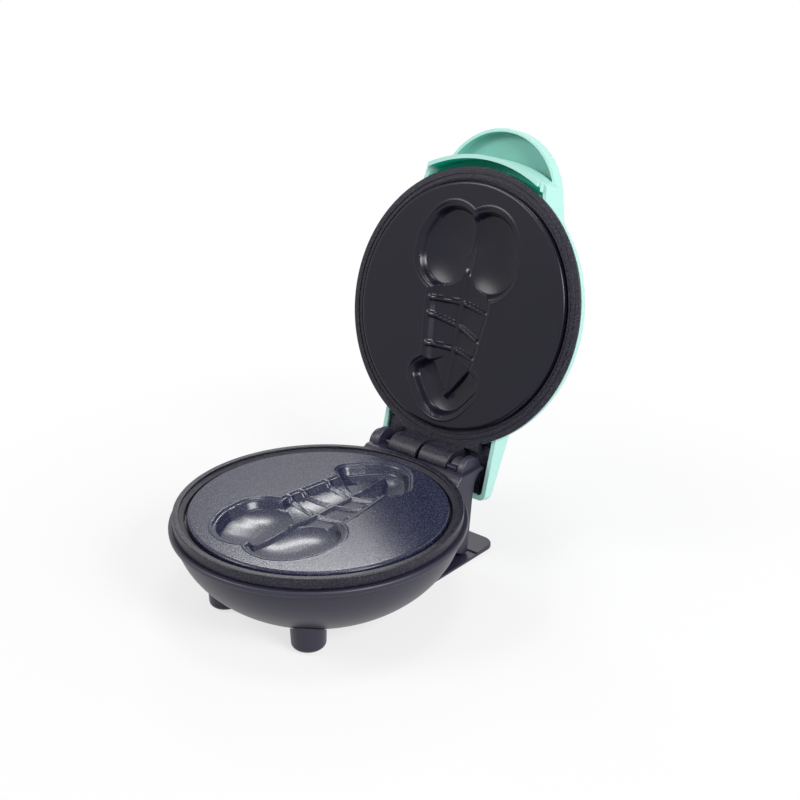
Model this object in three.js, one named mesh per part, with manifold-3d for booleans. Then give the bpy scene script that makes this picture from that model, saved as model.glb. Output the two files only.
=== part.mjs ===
// A mini waffle maker with a round body, a hinged lid and a pair of moulded cook plates.
// Millimetres, +Z up, +Y towards the hinge, -Y towards the handle when the lid is shut.
// The pieces are first laid out round the middle of the cooking side, with the top of the lower
// trim ring at height zero and the lid shut. The lid group is then swung open on its pin.

import * as THREE from 'three';
import { mergeVertices } from 'three/addons/utils/BufferGeometryUtils.js';
import Module from 'manifold-3d';

const wasm = await Module();
wasm.setup();

// Driving dimensions

const openAngle = 106;            // degrees between the lid and the base, as the lid stands open
const plateRadius = 54.7;         // lower cook plate
const plateChannel = 1.1;         // open channel between the lower plate and its trim ring
const ringStepWidth = 2.2;        // sunken inner band of the lower trim ring
const ringStepDrop = 1.2;
const ringTopWidth = 2.6;         // flat top of the lower trim ring
const ringShoulder = 2.4;         // what the ring lays on the bowl's rim
const ringWall = 4.8;             // top of the bowl's rim, below the ring's top
const flangeOverhang = 1.9;       // rolled rim of the bowl, past the trim ring
const flangeDepth = 2.5;
const flangeRound = 0.6;
const bowlInset = 1.5;            // side of the bowl, in from its rolled rim
const bowlHeight = 42.5;          // half height of the ellipse that the bowl's side follows
const bowlCrown = 3.1;            // centre of that ellipse, below the ring's top
const ringToTable = 42.8;         // height of the ring's top over the table
const bowlClearance = 2.9;        // flat bottom of the bowl over the table
const shellWall = 2.0;            // moulded wall of the bowl and the lid
const plateGap = 0.5;             // between the two plates, lid shut
const plateDrop = 0.7;            // lower plate's face, below the ring's top
const plateThickness = 3.2;       // edge of a cook plate
const plateChamfer = 0.4;
const plateLap = 1.3;             // how far a ring's ledge reaches behind a plate's edge
const ledgeThickness = 2.0;
const lidPlateRadius = 55.8;
const lidFrameChannel = 0.8;      // between the lid's plate and its black frame
const lidFrameWidth = 5.0;        // face of the lid's black frame
const lidFrameLift = 2.0;         // that face over the lower ring
const lidFrameEdge = 0.7;         // its rim, under the edge of the lid shell
const domeOverhang = 0.9;         // lid shell, past the black frame
const domeHeight = 24.0;          // crown of the lid shell over its edge
const knuckleRadius = 7.0;
const hingeGap = 0.2;             // knuckle to the bowl's rim, measured in plan
const pinDrop = 2.5;              // hinge pin below the ring's top
const pinRadius = 1.6;
const fit = 0.3;                  // clearance between pieces that seat in each other
const overrun = 1.0;              // how far a cut runs past the face that it opens

// The mould: two round lobes at the handle end, a banded shaft and a flared tip at the hinge end.
// Its places and rounds are shares of its reach, from the plate's middle to the end of the tip.

const lobeDepth = 5.6;
const shaftDepth = 4.4;
const tipDepth = 6.0;
const mouldRimWidth = 1.9;        // rolled edge round the mould
const mouldWall = 2.2;            // metal behind the mould
const mouldEdge = 0.2;            // from the metal behind the tip to the plate's edge
const lobeFrontShare = { x: 0.188, y: -0.581, r: 0.288 };
const lobeBackShare = { x: 0.25, y: -0.407, r: 0.278 };
const shaftFrontShare = { x: 0, y: -0.04, r: 0.314 };
const shaftBackShare = { x: 0, y: 0.476, r: 0.25 };
const tipEndShare = { x: 0, y: 0.722, r: 0.278 };
const tipShoulderShare = { x: 0.29, y: 0.659, r: 0.071 };
const wedgeHalfShare = 0.198;     // the shaft's pointed end, laid over the tip
const wedgeFrontShare = 0.556;
const wedgePointShare = 0.843;
const ribWidth = 2.0;             // centre rib, and the bands that cross the shaft
const ribHeight = 1.2;
const bandShares = [              // place of each band along the shaft, and how far its ends stray
  { y: -0.032, left: 0.016, right: 0.056 },
  { y: 0.179, left: -0.06, right: 0.131 },
  { y: 0.389, left: 0.008, right: 0.067 },
];

// How the mould's side curves in to its floor: inset as a share of the first round's radius, and
// depth as a share of the whole depth. The same again for the metal behind it.
const mouldCurveShares = [[0, 0.2], [0.12, 0.54], [0.34, 0.84], [0.62, 1]];
const mouldBackShares = [[0, 0.5], [0.06, 0.83], [0.36, 1]];

// Handle, chin and tail of the lid shell

const chinReach = 4.9;            // front wall under the handle, past the dome's edge
const chinHang = 1.1;             // its lower edge, below the ring's top
const chinHalf = 32.7;            // half width at its front corners
const chinRoot = 34.1;            // half width where its sides meet the dome
const chinWall = 1.8;
const tabRadius = 32.8;           // round front of the handle
const tabInset = 14.3;            // middle of that round, in from the dome's edge
const cheekRadius = 3.0;          // small round at each side of the handle
const cheekSpread = 32.5;
const cheekInset = 19.5;
const tabUnder = 10.9;            // underside of the handle's rim
const tabTop = 17.8;
const tabRoof = 1.8;
const tabWall = 1.6;
const tabRoundOver = 1.5;
const tailHalf = 32.0;            // cover over the hinge, half width
const tailRun = 22.5;             // where it starts, in from the dome's edge
const tailPast = 12.8;            // its end, past the hinge line
const tailLift = 3.6;             // lower edge of the cover
const tailTopRoot = 17.6;
const tailTopEnd = 10.4;
const tailCorner = 3.0;
const tailScrewSpread = 14.0;
const tailScrewInset = 5.5;       // in from the tail's end

// Black frame of the lid

const spigotRise = 5.0;           // collar inside the lid shell, past the frame's face
const spigotWall = 1.8;
const tongueHalf = 25.0;
const tongueInset = 1.5;          // its end, ahead of the knuckles
const tongueThickness = 2.2;
const tongueWall = 1.4;
const knuckleInset = 6.0;         // room for the lug between a knuckle and the stand's ear
const knuckleInner = 0.85;
const knuckleArm = 7.8;           // thickness of the arm that carries a knuckle
const linerLift = 5.4;            // black liner of the hinge cover
const linerThickness = 1.2;
const linerGap = 0.4;             // all round the liner
const linerChamfer = 3.0;
const lugOutside = 0.4;           // stop lug beside the left knuckle, clear of the ear
const lugInside = 0.6;            // and clear of the knuckle
const lugReach = 3.3;
const lugTop = 0.5;

// Rear stand

const standHalf = 28.5;
const standWall = 2.8;
const earInset = 2.0;             // outside of the ears, in from the stand's side
const earWidth = 3.5;
const ledgeDrop = 1.2;            // top of the stand, below the ring's top
const ledgeThick = 2.4;
const ledgePast = 6.9;            // end of the ledge, past the hinge line
const shoulderInset = 3.6;        // in from the trim ring
const panelTopPast = 1.3;         // back of the stand's panel under its ledge, past the hinge line
const panelMidInset = 0.7;        // the same further down, ahead of the hinge line
const panelMidDrop = 12.6;
const panelFootInset = 3.9;       // and at the foot
const panelThickness = 3.3;
const gussetInset = 25.0;         // front of the side gussets under the bowl, in from its side
const gussetRise = 15.0;
const pocketDrop = 17.5;          // top of the wiring pocket, below the ring's top
const pocketRise = 4.6;           // floor of the pocket over the foot
const pocketInset = 6.0;          // in from the stand's side
const cradleGap = 0.35;           // round the knuckles
const cradleSide = 0.4;
const blockTop = 1.0;             // low block beside the right knuckle
const blockReach = 3.3;
const hubRadius = 3.2;            // hub round the open end of the pin's hole
const coverWall = 1.8;
const coverMargin = 3.0;          // the cover's lap round the pocket
const coverScrewSpread = 9.0;
const coverScrewDrop = 16.0;
const coverScrewLength = 7.0;
const standScrewSpread = 21.0;
const standScrewDrop = 13.0;
const standScrewLength = 13.5;
const standBossRadius = 4.4;
const standBossInset = 10.6;      // in from the bowl's side

// Foot of the stand, and the pads

const footHalf = 32.4;
const footPast = 12.6;            // its end, past the hinge line
const footStepInset = 1.9;        // front of its thick part, ahead of the hinge line
const toeLap = 6.0;               // its thin part, ahead of the gussets
const footThickness = 1.7;
const footToe = 1.0;              // thin part, which runs in under the bowl
const footCorner = 6.5;
const padRadius = 4.0;
const padSeat = 0.8;
const padProud = 0.8;
const padSpread = 24.0;
const padInset = 7.5;             // in from the foot's end
const pegRadius = 2.0;            // pegs that hold the foot in the stand
const pegBoss = 3.4;
const pegSideInset = 8.5;         // in from the stand's side
const pegInset = 5.5;             // in from the back of the panel
const pegHeight = 6.0;

// Front feet

const legAngle = 53.2;            // degrees from the hinge line to each foot
const legInset = 20.4;            // in from the bowl's side
const legRadius = 6.5;
const legTaper = 0.4;
const legRise = 14.0;
const legStem = 2.2;              // stem through the bowl's wall
const legStemRise = 6.0;
const legPadRadius = 4.6;

// Inside

const heaterInset = 14.7;         // middle of the tube, in from the smaller plate's edge
const heaterTube = 3.2;
const heaterGapAngle = 22;        // degrees from straight back to each end of the heater
const heaterBend = 5.2;
const heaterTail = 5.8;           // how far the ends stand off the heater's ring
const panWall = 0.8;
const panSide = 2.8;              // from the heater's tube to the edge of the pan's flat
const panRim = 1.6;
const panLap = 0.8;               // past the plate's edge
const panHoleGap = 1.2;           // round the ends of the heater
const postInset = 10.0;           // screw posts, in from the heater's ring
const postRadius = 3.6;
const postAngles = [37, 143, 270];
const shellPostRadius = 4.6;
const shellPostFloor = 2.5;
const screwRadius = 1.5;
const screwHead = 2.8;
const screwHeadHeight = 1.4;
const screwGrip = 6.0;            // thread in a plate's post
const discRadius = 6.5;           // thermostat
const discHeight = 6.0;
const fuseRadius = 2.2;
const fuseLength = 13.0;
const terminalSize = { x: 18.0, y: 9.0, z: 8.0 };
const terminalPast = 4.0;         // middle of the block, past the rear screw posts
const leadRadius = 1.3;
const leadDip = 4.0;
const leadSpread = 5.0;
const leadHole = 3.0;
const bushingRadius = 4.4;
const bushingCollar = 6.0;
const bushingProud = 3.0;
const bushingLength = 8.0;
const bushingBore = 2.6;
const bushingDrop = 29.0;
const lensRadius = 3.4;
const lensFlange = 1.0;
const lensPlace = 17.0;
const lensProud = 0.7;
const lampRadius = 2.1;
const lampLength = 9.0;

// Counts

const roundSteps = 36;
const smallSteps = 12;
const moundSteps = 20;
const curveSteps = 5;
const tubeSides = 8;
const heaterSteps = 18;

// Sizes worked out from these

const plateReach = Math.min(plateRadius, lidPlateRadius);
const mouldReach = plateReach - mouldRimWidth - mouldWall - mouldEdge;
const heaterRadius = plateReach - heaterInset;
const postCircle = heaterRadius - postInset;
const ringInner = plateRadius + plateChannel;
const ringTopInner = ringInner + ringStepWidth;
const ringRadius = ringTopInner + ringTopWidth;
const ringSpigot = ringRadius - ringShoulder;
const flangeRadius = ringRadius + flangeOverhang;
const flangeTop = -ringWall;
const flangeLow = flangeTop - flangeDepth;
const bowlRadius = flangeRadius - bowlInset;
const bowlMouth = ringSpigot + fit;
const tableLevel = -ringToTable;
const bowlBottom = tableLevel + bowlClearance;
const lowerFace = -plateDrop;
const upperFace = lowerFace + plateGap;
const frameInner = lidPlateRadius + lidFrameChannel;
const frameRadius = frameInner + lidFrameWidth;
const domeRadius = frameRadius + domeOverhang;
const domeRim = lidFrameLift + lidFrameEdge + fit;
const hingeY = Math.max(flangeRadius, domeRadius) + hingeGap + knuckleRadius;
const hingeZ = -pinDrop;
const knuckleFront = hingeY - knuckleRadius;
const earOuter = standHalf - earInset;
const knuckleOuter = earOuter - earWidth - knuckleInset;
const lugOuter = earOuter - earWidth - lugOutside;
const lugInner = knuckleOuter + lugInside;
const pocketHalf = standHalf - pocketInset;
const pegSpread = standHalf - pegSideInset;
const tongueReach = knuckleFront - tongueInset;
const tailRoot = domeRadius - tailRun;
const tailEnd = hingeY + tailPast;
const panelMid = hingeY - panelMidInset;
const panelFoot = hingeY - panelFootInset;
const gussetFront = bowlRadius - gussetInset;
const standBossFront = bowlRadius - standBossInset;
const footEnd = hingeY + footPast;
const pinHole = pinRadius + fit;
const screwHole = screwRadius + fit;
const up = new THREE.Vector3(0, 0, 1);
const down = new THREE.Vector3(0, 0, -1);
const back = new THREE.Vector3(0, 1, 0);

// Turning geometry into solids

// A closed body as a solid, whichever way its faces were wound.
function toSolid(geometry) {
  const bare = new THREE.BufferGeometry();
  bare.setAttribute('position', geometry.getAttribute('position').clone());
  if (geometry.index) bare.setIndex(geometry.index.clone());
  const merged = mergeVertices(bare);
  const position = new Float32Array(merged.attributes.position.array);
  const corners = [];
  for (let i = 0; i < merged.index.count; i += 3) {
    const [a, b, c] = [0, 1, 2].map((k) => merged.index.getX(i + k));
    if (a !== b && b !== c && c !== a) corners.push(a, b, c);
  }
  if (signedVolume(position, corners) < 0) {
    for (let i = 0; i < corners.length; i += 3) {
      [corners[i + 1], corners[i + 2]] = [corners[i + 2], corners[i + 1]];
    }
  }
  const triVerts = new Uint32Array(corners);
  return new wasm.Manifold(new wasm.Mesh({ numProp: 3, vertProperties: position, triVerts }));
}

function signedVolume(position, corners) {
  const corner = [new THREE.Vector3(), new THREE.Vector3(), new THREE.Vector3()];
  let sum = 0;
  for (let i = 0; i < corners.length; i += 3) {
    corner.forEach((v, k) => v.fromArray(position, corners[i + k] * 3));
    sum += corner[0].dot(corner[1].cross(corner[2]));
  }
  return sum;
}

function toGeometry(solid) {
  const mesh = solid.getMesh();
  const geometry = new THREE.BufferGeometry();
  const position = new Float32Array(mesh.vertProperties);
  geometry.setAttribute('position', new THREE.BufferAttribute(position, 3));
  geometry.setIndex(new THREE.BufferAttribute(new Uint32Array(mesh.triVerts), 1));
  return geometry;
}

const join = (...solids) => solids.reduce((sum, solid) => sum.add(solid));
const cut = (solid, ...tools) => tools.reduce((rest, tool) => rest.subtract(tool), solid);

// Simple shapes

// Points [radius, height] turned about +Z. A profile starts and ends on the axis.
function lathe(profile, steps = roundSteps) {
  const geometry = new THREE.LatheGeometry(profile.map(([r, z]) => new THREE.Vector2(r, z)), steps);
  return geometry.rotateX(Math.PI / 2);
}

const turned = (profile, steps = roundSteps) => toSolid(lathe(profile, steps));

// A ring's profile closes on itself.
const turnedRing = (profile) => turned([...profile, profile[0]]);

// A turned body stood at a point, with its own +Z aimed along a direction.
function aimed(profile, place, direction, steps = smallSteps) {
  const turn = new THREE.Quaternion().setFromUnitVectors(up, direction);
  const geometry = lathe(profile, steps).applyQuaternion(turn);
  return toSolid(geometry.translate(place.x, place.y, place.z));
}

const rod = (r, low, high) => [[0, low], [r, low], [r, high], [0, high]];

// An upright round post between two heights, given in either order.
const post = (r, a, b, x = 0, y = 0, steps = smallSteps) =>
  aimed(rod(r, Math.min(a, b), Math.max(a, b)), new THREE.Vector3(x, y, 0), up, steps);

// A round bar from left to right, and one from front to rear.
const bar = (r, left, right, y, z, steps = smallSteps) =>
  aimed(rod(r, left, right), new THREE.Vector3(0, y, z), new THREE.Vector3(1, 0, 0), steps);
const shaftAlong = (r, front, rear, x, z, steps = smallSteps) =>
  aimed(rod(r, front, rear), new THREE.Vector3(x, 0, z), back, steps);

// A screw at its seat: the head lies behind the seat and the shank ahead of it.
const screw = (place, direction, length) => aimed([
  [0, -screwHeadHeight], [screwHead, -screwHeadHeight], [screwHead, 0],
  [screwRadius, 0], [screwRadius, length], [0, length]], place, direction);

// A plan outline of [x, y], raised between two heights, given in either order.
function raised(outline, a, b) {
  const shape = new THREE.Shape(outline.map(([x, y]) => new THREE.Vector2(x, y)));
  const geometry = new THREE.ExtrudeGeometry(shape, { depth: Math.abs(b - a), bevelEnabled: false });
  return toSolid(geometry.translate(0, 0, Math.min(a, b)));
}

// A side outline of [y, z], run across from left to right.
function across(outline, left, right) {
  const shape = new THREE.Shape(outline.map(([y, z]) => new THREE.Vector2(y, z)));
  const geometry = new THREE.ExtrudeGeometry(shape, { depth: right - left, bevelEnabled: false });
  const turn = new THREE.Matrix4().makeBasis(back, up, new THREE.Vector3(1, 0, 0));
  return toSolid(geometry.applyMatrix4(turn).translate(left, 0, 0));
}

const block = (left, right, front, rear, a, b) =>
  raised([[left, front], [right, front], [right, rear], [left, rear]], a, b);

// A body skinned over closed loops of points, with a fan at each end.
function loft(loops) {
  const count = loops[0].length;
  const last = loops.length - 1;
  const position = loops.flat(2);
  const index = [];
  const at = (loop, i) => loop * count + (i % count);
  for (let loop = 0; loop < last; loop++) {
    for (let i = 0; i < count; i++) {
      index.push(at(loop, i), at(loop, i + 1), at(loop + 1, i + 1));
      index.push(at(loop, i), at(loop + 1, i + 1), at(loop + 1, i));
    }
  }
  for (const loop of [0, last]) {
    const hub = position.length / 3;
    position.push(...[0, 1, 2].map((k) => loops[loop].reduce((sum, p) => sum + p[k], 0) / count));
    for (let i = 0; i < count; i++) {
      if (loop === 0) index.push(at(loop, i + 1), at(loop, i), hub);
      else index.push(at(loop, i), at(loop, i + 1), hub);
    }
  }
  const geometry = new THREE.BufferGeometry();
  geometry.setAttribute('position', new THREE.Float32BufferAttribute(position, 3));
  geometry.setIndex(index);
  return toSolid(geometry);
}

// Rounds grown or shrunk. One that would vanish keeps a small corner and slides to the first.
function grown(rounds, grow) {
  const [first] = rounds;
  return rounds.map((round) => {
    const r = Math.max(round.r + grow, fit);
    const slide = (r - round.r - grow) * Math.SQRT2;
    const away = Math.hypot(first.x - round.x, first.y - round.y);
    const share = slide > 0 && away > 0 ? Math.min(slide / away, 1) : 0;
    return {
      x: round.x + (first.x - round.x) * share,
      y: round.y + (first.y - round.y) * share,
      r,
    };
  });
}

// The outline drawn tight round a set of rounds, at one height.
function outlineOf(rounds, z) {
  return Array.from({ length: moundSteps }, (_, i) => {
    const angle = ((i + 0.5) / moundSteps) * 2 * Math.PI;
    const dx = Math.cos(angle);
    const dy = Math.sin(angle);
    const reach = (c) => c.x * dx + c.y * dy + c.r;
    const far = rounds.reduce((best, c) => (reach(c) > reach(best) ? c : best));
    return [far.x + far.r * dx, far.y + far.r * dy, z];
  });
}

const mirrored = (round) => [round, { ...round, x: -round.x }];

// A body whose outline grows and shrinks from layer to layer, each layer given as [grow, height].
const mound = (rounds, layers) => loft(layers.map(([grow, z]) => outlineOf(grown(rounds, grow), z)));

// Points of a quarter ellipse about the axis, between two heights over its widest level.
function quarter(radius, height, from, to, steps = curveSteps) {
  const start = Math.asin(from / height);
  const end = Math.asin(to / height);
  return Array.from({ length: steps + 1 }, (_, i) => {
    const angle = start + ((end - start) * i) / steps;
    const r = i === steps && to === height ? 0 : radius * Math.cos(angle);
    return [r, height * Math.sin(angle)];
  });
}

// The scene graph

const materials = {
  mint: { color: 0x9fdccb, roughness: 0.35, metalness: 0 },
  satinBlack: { color: 0x45454f, roughness: 0.4, metalness: 0 },
  texturedBlack: { color: 0x26262e, roughness: 0.7, metalness: 0 },
  nonStick: { color: 0x4a4c63, roughness: 0.45, metalness: 0.2 },
  nonStickDark: { color: 0x2b2a36, roughness: 0.35, metalness: 0.2 },
  steel: { color: 0xb8bcc2, roughness: 0.35, metalness: 1 },
  rubber: { color: 0x1d1d20, roughness: 0.85, metalness: 0 },
  ceramic: { color: 0xe6e0d2, roughness: 0.6, metalness: 0 },
  sleeve: { color: 0xd8d4cc, roughness: 0.6, metalness: 0 },
  lens: { color: 0xd65a3a, roughness: 0.15, metalness: 0 },
  glass: { color: 0xe0e6ea, roughness: 0.1, metalness: 0 },
};

const object = new THREE.Group();
const base = new THREE.Group();
const lid = new THREE.Group();
const lidPieces = new THREE.Group();
lid.position.set(0, hingeY, hingeZ);
lidPieces.position.set(0, -hingeY, -hingeZ);
lid.add(lidPieces);
object.add(base, lid);

function addPiece(group, name, solid, finish) {
  const mesh = new THREE.Mesh(toGeometry(solid), new THREE.MeshStandardMaterial(materials[finish]));
  mesh.name = name;
  group.add(mesh);
}

const sides = [['left', -1], ['right', 1]];

// The mould, cut into each plate

const roundAt = (share) => ({ x: share.x * mouldReach, y: share.y * mouldReach, r: share.r * mouldReach });
const [lobeFront, lobeBack, shaftFront, shaftBack, tipEnd, tipShoulder] = [
  lobeFrontShare, lobeBackShare, shaftFrontShare, shaftBackShare, tipEndShare, tipShoulderShare].map(roundAt);
const lobes = [-1, 1].map((side) => [lobeFront, lobeBack].map((c) => ({ ...c, x: side * c.x })));
const hollows = [
  ...lobes.map((rounds) => ({ rounds, depth: lobeDepth })),
  { rounds: [shaftFront, shaftBack], depth: shaftDepth },
  { rounds: [tipEnd, ...mirrored(tipShoulder)], depth: tipDepth },
];
const tipHollow = hollows[hollows.length - 1];

// One hollow, cut from a plate's face. Way is 1 upwards and -1 downwards. A raise lifts its floor
// and draws in its sides.
function hollowOf({ rounds, depth }, face, way, raise = 0) {
  const rim = [[mouldRimWidth, -overrun], [mouldRimWidth, 0]];
  const curve = mouldCurveShares.map(([inset, drop]) => [-inset * rounds[0].r, drop * depth]);
  return mound(rounds, [...rim, ...curve].map(([grow, d]) => [grow - raise, face + way * (d - raise)]));
}

// The metal behind a hollow.
function backingOf({ rounds, depth }, face, way) {
  const whole = depth + mouldWall;
  const curve = mouldBackShares.map(([inset, drop]) => [mouldWall - inset * rounds[0].r, drop * whole]);
  const layers = [[mouldWall, plateThickness / 2], ...curve];
  return mound(rounds, layers.map(([grow, d]) => [grow, face + way * d]));
}

// Everything that is cut away for the mould: the hollows, less the raised ribs and the wedge.
function mouldCut(face, way) {
  const deep = face + way * (tipDepth + overrun);
  const half = ribWidth / 2;
  const wide = shaftFront.r + mouldRimWidth;
  const wedgePoint = wedgePointShare * mouldReach;
  const centre = block(-half, half, lobeFront.y - lobeFront.r, wedgePoint, face, deep);
  const crossing = bandShares.map((share) => {
    const [y, left, right] = [share.y, share.left, share.right].map((part) => part * mouldReach);
    return raised([
      [-wide, y + left - half], [0, y - half], [wide, y + right - half],
      [wide, y + right + half], [0, y + half], [-wide, y + left + half]], face, deep);
  });
  const ribs = cut(join(centre, ...crossing), ...hollows.map((h) => hollowOf(h, face, way, ribHeight)));
  const [wedgeHalf, wedgeFront] = [wedgeHalfShare * mouldReach, wedgeFrontShare * mouldReach];
  const wedge = raised(
    [[-wedgeHalf, wedgeFront], [wedgeHalf, wedgeFront], [0, wedgePoint]],
    face + way * shaftDepth, deep);
  const open = hollows.map((h) => (h === tipHollow ? cut(hollowOf(h, face, way), wedge) : hollowOf(h, face, way)));
  return cut(join(...open), ribs);
}

const postPlaces = postAngles.map((degrees) => {
  const angle = THREE.MathUtils.degToRad(degrees);
  return { x: postCircle * Math.cos(angle), y: postCircle * Math.sin(angle) };
});

// What is stacked behind a plate, as distances from its face
const heaterDepth = tipDepth + mouldWall + fit + heaterTube;
const panDepth = heaterDepth + heaterTube + fit;
const ledgeDepth = plateThickness + fit;
const panRimDepth = ledgeDepth + ledgeThickness + fit;
const postHoleDepth = panDepth - fit - screwGrip - fit;

// A cook plate with its mould and its three screw posts.
function cookPlate(radius, face, way) {
  const at = (d) => face + way * d;
  const disc = turned([
    [0, at(0)], [radius - plateChamfer, at(0)], [radius, at(plateChamfer)],
    [radius, at(plateThickness)], [0, at(plateThickness)]]);
  const backs = hollows.map((h) => backingOf(h, face, way));
  const posts = postPlaces.map(({ x, y }) => post(postRadius, at(plateThickness / 2), at(panDepth - fit), x, y));
  const holes = postPlaces.map(({ x, y }) => post(screwHole, at(postHoleDepth), at(panDepth + overrun), x, y));
  return cut(join(disc, ...backs, ...posts), mouldCut(face, way), ...holes);
}

// Where each end of a heater comes out, past its bend.
const heaterGap = THREE.MathUtils.degToRad(heaterGapAngle);
const heaterEnd = {
  x: heaterRadius * Math.sin(heaterGap) - heaterBend * Math.cos(heaterGap),
  y: heaterRadius * Math.cos(heaterGap) + heaterBend * Math.sin(heaterGap),
};

// A tubular heater: an open ring whose ends bend away from the plate.
function heater(face, way) {
  const level = face + way * heaterDepth;
  const sweep = 2 * (Math.PI - heaterGap);
  const count = heaterSteps;
  const ring = Array.from({ length: count + 1 }, (_, i) => {
    const angle = Math.PI / 2 + heaterGap + (sweep * i) / count;
    return new THREE.Vector3(heaterRadius * Math.cos(angle), heaterRadius * Math.sin(angle), level);
  });
  const bend = (from, side) => [1 / 3, 2 / 3, 1].map((share) => {
    const angle = (share * Math.PI) / 2;
    return new THREE.Vector3(
      from.x + side * heaterBend * Math.sin(angle) * Math.cos(heaterGap),
      from.y + heaterBend * Math.sin(angle) * Math.sin(heaterGap),
      level + way * heaterBend * (1 - Math.cos(angle)));
  });
  const tail = (p) => new THREE.Vector3(p.x, p.y, level + way * heaterTail);
  const left = bend(ring[0], 1);
  const right = bend(ring[count], -1);
  const path = [tail(left[2]), ...left.reverse(), ...ring, ...right, tail(right[2])];
  return tube(path, heaterTube, path.length + heaterSteps / 2);
}

// A solid tube along a smooth line through some points.
function tube(points, radius, steps) {
  const section = new THREE.Shape(Array.from({ length: tubeSides }, (_, i) => {
    const angle = (i / tubeSides) * 2 * Math.PI;
    return new THREE.Vector2(radius * Math.cos(angle), radius * Math.sin(angle));
  }));
  const extrudePath = new THREE.CatmullRomCurve3(points, false, 'centripetal');
  return toSolid(new THREE.ExtrudeGeometry(section, { steps, extrudePath, bevelEnabled: false }));
}

// The heater's cover: a shallow pan that is screwed to the plate's posts.
function heatPan(radius, face, way) {
  const at = (d) => face + way * d;
  const panRadius = radius + panLap;
  const panFlat = heaterRadius + heaterTube + panSide;
  const rim = panRadius - panRim;
  const pan = turned([
    [0, at(panDepth)], [panFlat, at(panDepth)], [rim, at(panRimDepth)], [panRadius, at(panRimDepth)],
    [panRadius, at(panRimDepth + panWall)], [rim, at(panRimDepth + panWall)],
    [panFlat, at(panDepth + panWall)], [0, at(panDepth + panWall)]]);
  const through = [at(panDepth - overrun), at(panDepth + panWall + overrun)];
  const screwHoles = postPlaces.map(({ x, y }) => post(screwHole, ...through, x, y));
  const endHoles = [-1, 1].map((side) =>
    post(heaterTube + panHoleGap, ...through, side * heaterEnd.x, heaterEnd.y));
  return cut(pan, ...screwHoles, ...endHoles);
}

// Base: the bowl and its trim ring

// The bowl's outer side from its flat bottom up to its rim, grown by a clearance or drawn in by a
// wall.
function bowlSide(grow, low, high) {
  const side = quarter(bowlRadius + grow, bowlHeight + grow, -bowlCrown - high, -bowlCrown - low);
  return side.map(([r, drop]) => [r, -bowlCrown - drop]).reverse();
}

// The bowl as one full body, with its rim, up to a given height.
function bowlBody(grow, top) {
  const low = bowlBottom - grow;
  return turned([
    [0, low], ...bowlSide(grow, low, flangeLow - grow),
    [flangeRadius + grow, flangeLow - grow], [flangeRadius + grow, flangeTop + grow],
    [ringRadius + grow, flangeTop + grow], [ringRadius + grow, top], [0, top]]);
}

const legTurn = THREE.MathUtils.degToRad(legAngle);
const legSpread = (bowlRadius - legInset) * Math.cos(legTurn);
const legPlace = (bowlRadius - legInset) * Math.sin(legTurn);
const shellPostTop = lowerFace - panDepth - panWall - fit;
const bowlFloor = bowlBottom + shellWall;

function lowerShell() {
  const inner = bowlSide(-shellWall, bowlFloor, flangeLow).map(([r, z]) => [Math.min(r, bowlMouth), z]);
  const shell = turned([
    [0, bowlBottom], ...bowlSide(0, bowlBottom, flangeLow),
    [flangeRadius - flangeRound, flangeLow], [flangeRadius, flangeLow + flangeRound],
    [flangeRadius, flangeTop - flangeRound], [flangeRadius - flangeRound, flangeTop],
    [bowlMouth, flangeTop], ...inner.reverse(), [0, bowlFloor]]);
  const inside = bowlBody(-shellWall / 2, flangeLow);
  const posts = postPlaces.map(({ x, y }) => post(shellPostRadius, bowlBottom, shellPostTop, x, y));
  const bosses = sides.map(([, side]) => shaftAlong(
    standBossRadius, standBossFront, flangeRadius, side * standScrewSpread, -standScrewDrop));
  const carried = [...posts, ...bosses].map((solid) => solid.intersect(inside));
  const headHoles = postPlaces.map(({ x, y }) =>
    post(screwHead + fit, bowlBottom - overrun, shellPostTop - shellPostFloor, x, y));
  const holes = postPlaces.map(({ x, y }) =>
    post(screwHole, bowlBottom, shellPostTop + overrun, x, y));
  const bossHoles = sides.map(([, side]) => shaftAlong(
    screwHole, standBossFront - overrun, flangeRadius, side * standScrewSpread, -standScrewDrop));
  const stemHoles = sides.map(([, side]) =>
    post(legStem + fit, tableLevel, bowlBottom + legRise, side * legSpread, -legPlace));
  const leadWay = shaftAlong(leadHole, heaterRadius, flangeRadius, 0, -bushingDrop);
  return cut(join(shell, ...carried), ...headHoles, ...holes, ...bossHoles, ...stemHoles, leadWay);
}

function lowerRing() {
  const ledge = lowerFace - ledgeDepth;
  const seat = flangeTop + fit;
  return turnedRing([
    [ringTopInner, 0], [ringRadius, 0], [ringRadius, seat], [ringSpigot, seat],
    [ringSpigot, ledge - ledgeThickness], [plateRadius - plateLap, ledge - ledgeThickness],
    [plateRadius - plateLap, ledge], [ringInner, ledge],
    [ringInner, -ringStepDrop], [ringTopInner, -ringStepDrop]]);
}

addPiece(base, 'lower_shell', lowerShell(), 'satinBlack');
addPiece(base, 'lower_ring', lowerRing(), 'texturedBlack');
addPiece(base, 'lower_plate', cookPlate(plateRadius, lowerFace, -1), 'nonStick');
addPiece(base, 'lower_heater', heater(lowerFace, -1), 'steel');
addPiece(base, 'lower_heat_pan', heatPan(plateRadius, lowerFace, -1), 'steel');

const plateBack = lowerFace - plateThickness;
const beside = (shaftFront.r + mouldWall + heaterRadius - heaterTube) / 2;
addPiece(base, 'thermostat',
  post(discRadius, plateBack - fit, plateBack - fit - discHeight, -beside, shaftFront.y), 'ceramic');
addPiece(base, 'thermal_fuse', shaftAlong(
  fuseRadius, shaftFront.y - fuseLength / 2, shaftFront.y + fuseLength / 2,
  beside, plateBack - fit - fuseRadius), 'ceramic');

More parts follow.
